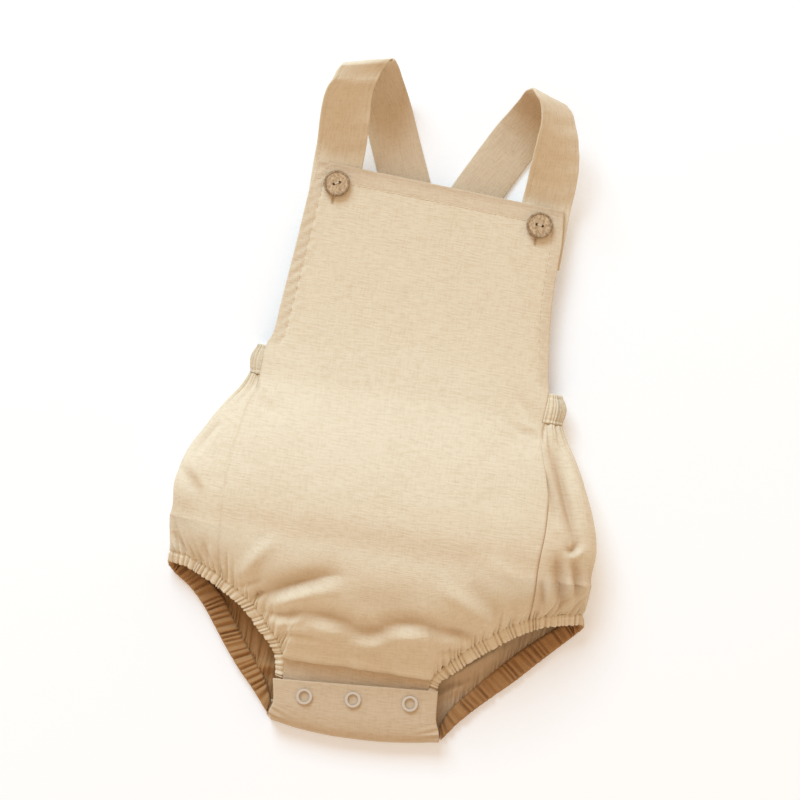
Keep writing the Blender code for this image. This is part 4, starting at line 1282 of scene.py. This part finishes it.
class ROMPER_OT_buttons(RomperPiece, bpy.types.Operator):
    """Two-hole wood buttons with their thread, and the press snaps' rings"""
    bl_idname = "romper.buttons"
    bl_label = "Buttons and snaps"

    def execute(self, context):
        trim = self.trim
        wood = wood_material("button_wood", trim.wood_light, trim.wood_dark)
        # darker rim: partly the wood's darker edge, partly painted shade round the button
        rim = wood_material("button_rim", trim.rim_light, trim.rim_dark)
        steel = steel_material("snap_steel", trim.steel_colour)
        tack = thread_material("tack_thread", trim.tack_colour)
        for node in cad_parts:
            if node.startswith(("button", "snap")):
                thing = bpy.data.objects[node]
                for slot in thing.material_slots:
                    slot.material = wood if node.startswith("button") else steel
        for side, x, y, spin in BUTTONS:
            face = float(top_height(section(np.float64(y)), x)) + 0.55 + BUTTON_THICKNESS
            self.rim("rim_button_" + side, (x, y, face), rim)
            turn = math.radians(spin)
            aim = np.array([math.cos(turn), math.sin(turn), 0.0])
            line = np.array([x, y, face]) + np.linspace(-1.5, 1.5, 9)[:, None] * aim
            up = np.tile([0.0, 0.0, 1.0], (9, 1))
            stitch_run("stitches_button_" + side, line, up, BUTTON_STITCH, self.thread())
            line = np.column_stack([np.full(9, x - 1.0), np.linspace(y - 7.4, y - 12.0, 9),
                                    np.full(9, face - BUTTON_THICKNESS - 0.2)])
            stitch_run("stitches_bartack_" + side, line, up, TACK_STITCH, tack, 84.0)
        return {"FINISHED"}

    @staticmethod
    def rim(name, centre, material):
        """Raised lip round a button: a small profile spun round its axis."""
        shape = bmesh.new()
        verts = [shape.verts.new((r * MM, 0.0, z * MM)) for r, z in RIM_PROFILE]
        edges = [shape.edges.new(pair) for pair in zip(verts, verts[1:])]
        bmesh.ops.spin(shape, geom=verts + edges, cent=(0, 0, 0), axis=(0, 0, 1),
                       angle=2 * math.pi, steps=48, use_merge=True)
        bmesh.ops.recalc_face_normals(shape, faces=shape.faces)
        bmesh.ops.translate(shape, vec=[value * MM for value in centre], verts=shape.verts)
        add_object(name, mesh_from(name, shape), material, "wood")


class ROMPER_OT_studio(RomperPiece, bpy.types.Operator):
    """White surface, a soft window above the garment's top, warm room light and the camera"""
    bl_idname = "romper.studio"
    bl_label = "Studio"

    def execute(self, context):
        scene = context.scene
        studio = scene.romper_studio
        shape = bmesh.new()
        bmesh.ops.create_grid(shape, x_segments=8, y_segments=8, size=3.0)
        surface = add_object("surface", mesh_from("surface", shape), floor_material("surface"))
        surface.location.z = -0.0002

        window = bpy.data.lights.new("window", "AREA")
        window.shape = "RECTANGLE"
        window.size, window.size_y = studio.window_width, studio.window_height
        window.energy = studio.key
        window.color = studio.key_colour
        lamp = bpy.data.objects.new("window", window)
        scene.collection.objects.link(lamp)
        lamp.location = studio.window_place
        lamp.rotation_euler = (-lamp.location).to_track_quat("-Z", "Y").to_euler()

        world = bpy.data.worlds.new("room")
        scene.world = world
        world.use_nodes = True
        sky = world.node_tree.nodes["Background"]
        sky.inputs["Color"].default_value = (*studio.fill_colour, 1.0)
        sky.inputs["Strength"].default_value = studio.fill

        view = bpy.data.cameras.new("camera")
        view.lens = studio.lens
        view.sensor_width = 36.0
        view.clip_start, view.clip_end = 0.05, 20.0
        camera = bpy.data.objects.new("camera", view)
        scene.collection.objects.link(camera)
        camera.location = (*CAMERA_AIM, studio.camera_height)
        camera.rotation_euler = (0.0, 0.0, studio.tilt)
        scene.camera = camera
        scene.view_settings.view_transform = "Standard"
        return {"FINISHED"}


class ROMPER_PT_panel(bpy.types.Panel):
    bl_label = "Baby Romper"
    bl_idname = "ROMPER_PT_panel"
    bl_space_type = "VIEW_3D"
    bl_region_type = "UI"
    bl_category = "Romper"

    def draw(self, context):
        for group in (context.scene.romper_look, context.scene.romper_trim,
                      context.scene.romper_studio):
            box = self.layout.box()
            for name in group.bl_rna.properties.keys():
                if name not in {"rna_type", "name"}:
                    box.prop(group, name)
        for operator in OPERATORS:
            self.layout.operator(operator.bl_idname)


OPERATORS = (ROMPER_OT_front, ROMPER_OT_back, ROMPER_OT_waist, ROMPER_OT_legs, ROMPER_OT_crotch,
             ROMPER_OT_straps, ROMPER_OT_stitching, ROMPER_OT_buttons, ROMPER_OT_studio)
GROUPS = (("romper_look", RomperLook), ("romper_trim", RomperTrim),
          ("romper_studio", RomperStudio))


def register():
    for name, group in GROUPS:
        bpy.utils.register_class(group)
        setattr(bpy.types.Scene, name, bpy.props.PointerProperty(type=group))
    for operator in OPERATORS:
        bpy.utils.register_class(operator)
    bpy.utils.register_class(ROMPER_PT_panel)


def unregister():
    bpy.utils.unregister_class(ROMPER_PT_panel)
    for operator in reversed(OPERATORS):
        bpy.utils.unregister_class(operator)
    for name, group in reversed(GROUPS):
        delattr(bpy.types.Scene, name)
        bpy.utils.unregister_class(group)


def main():
    register()
    for operator in OPERATORS:
        _, name = operator.bl_idname.split(".")
        getattr(bpy.ops.romper, name)()


if __name__ == "__main__":
    main()
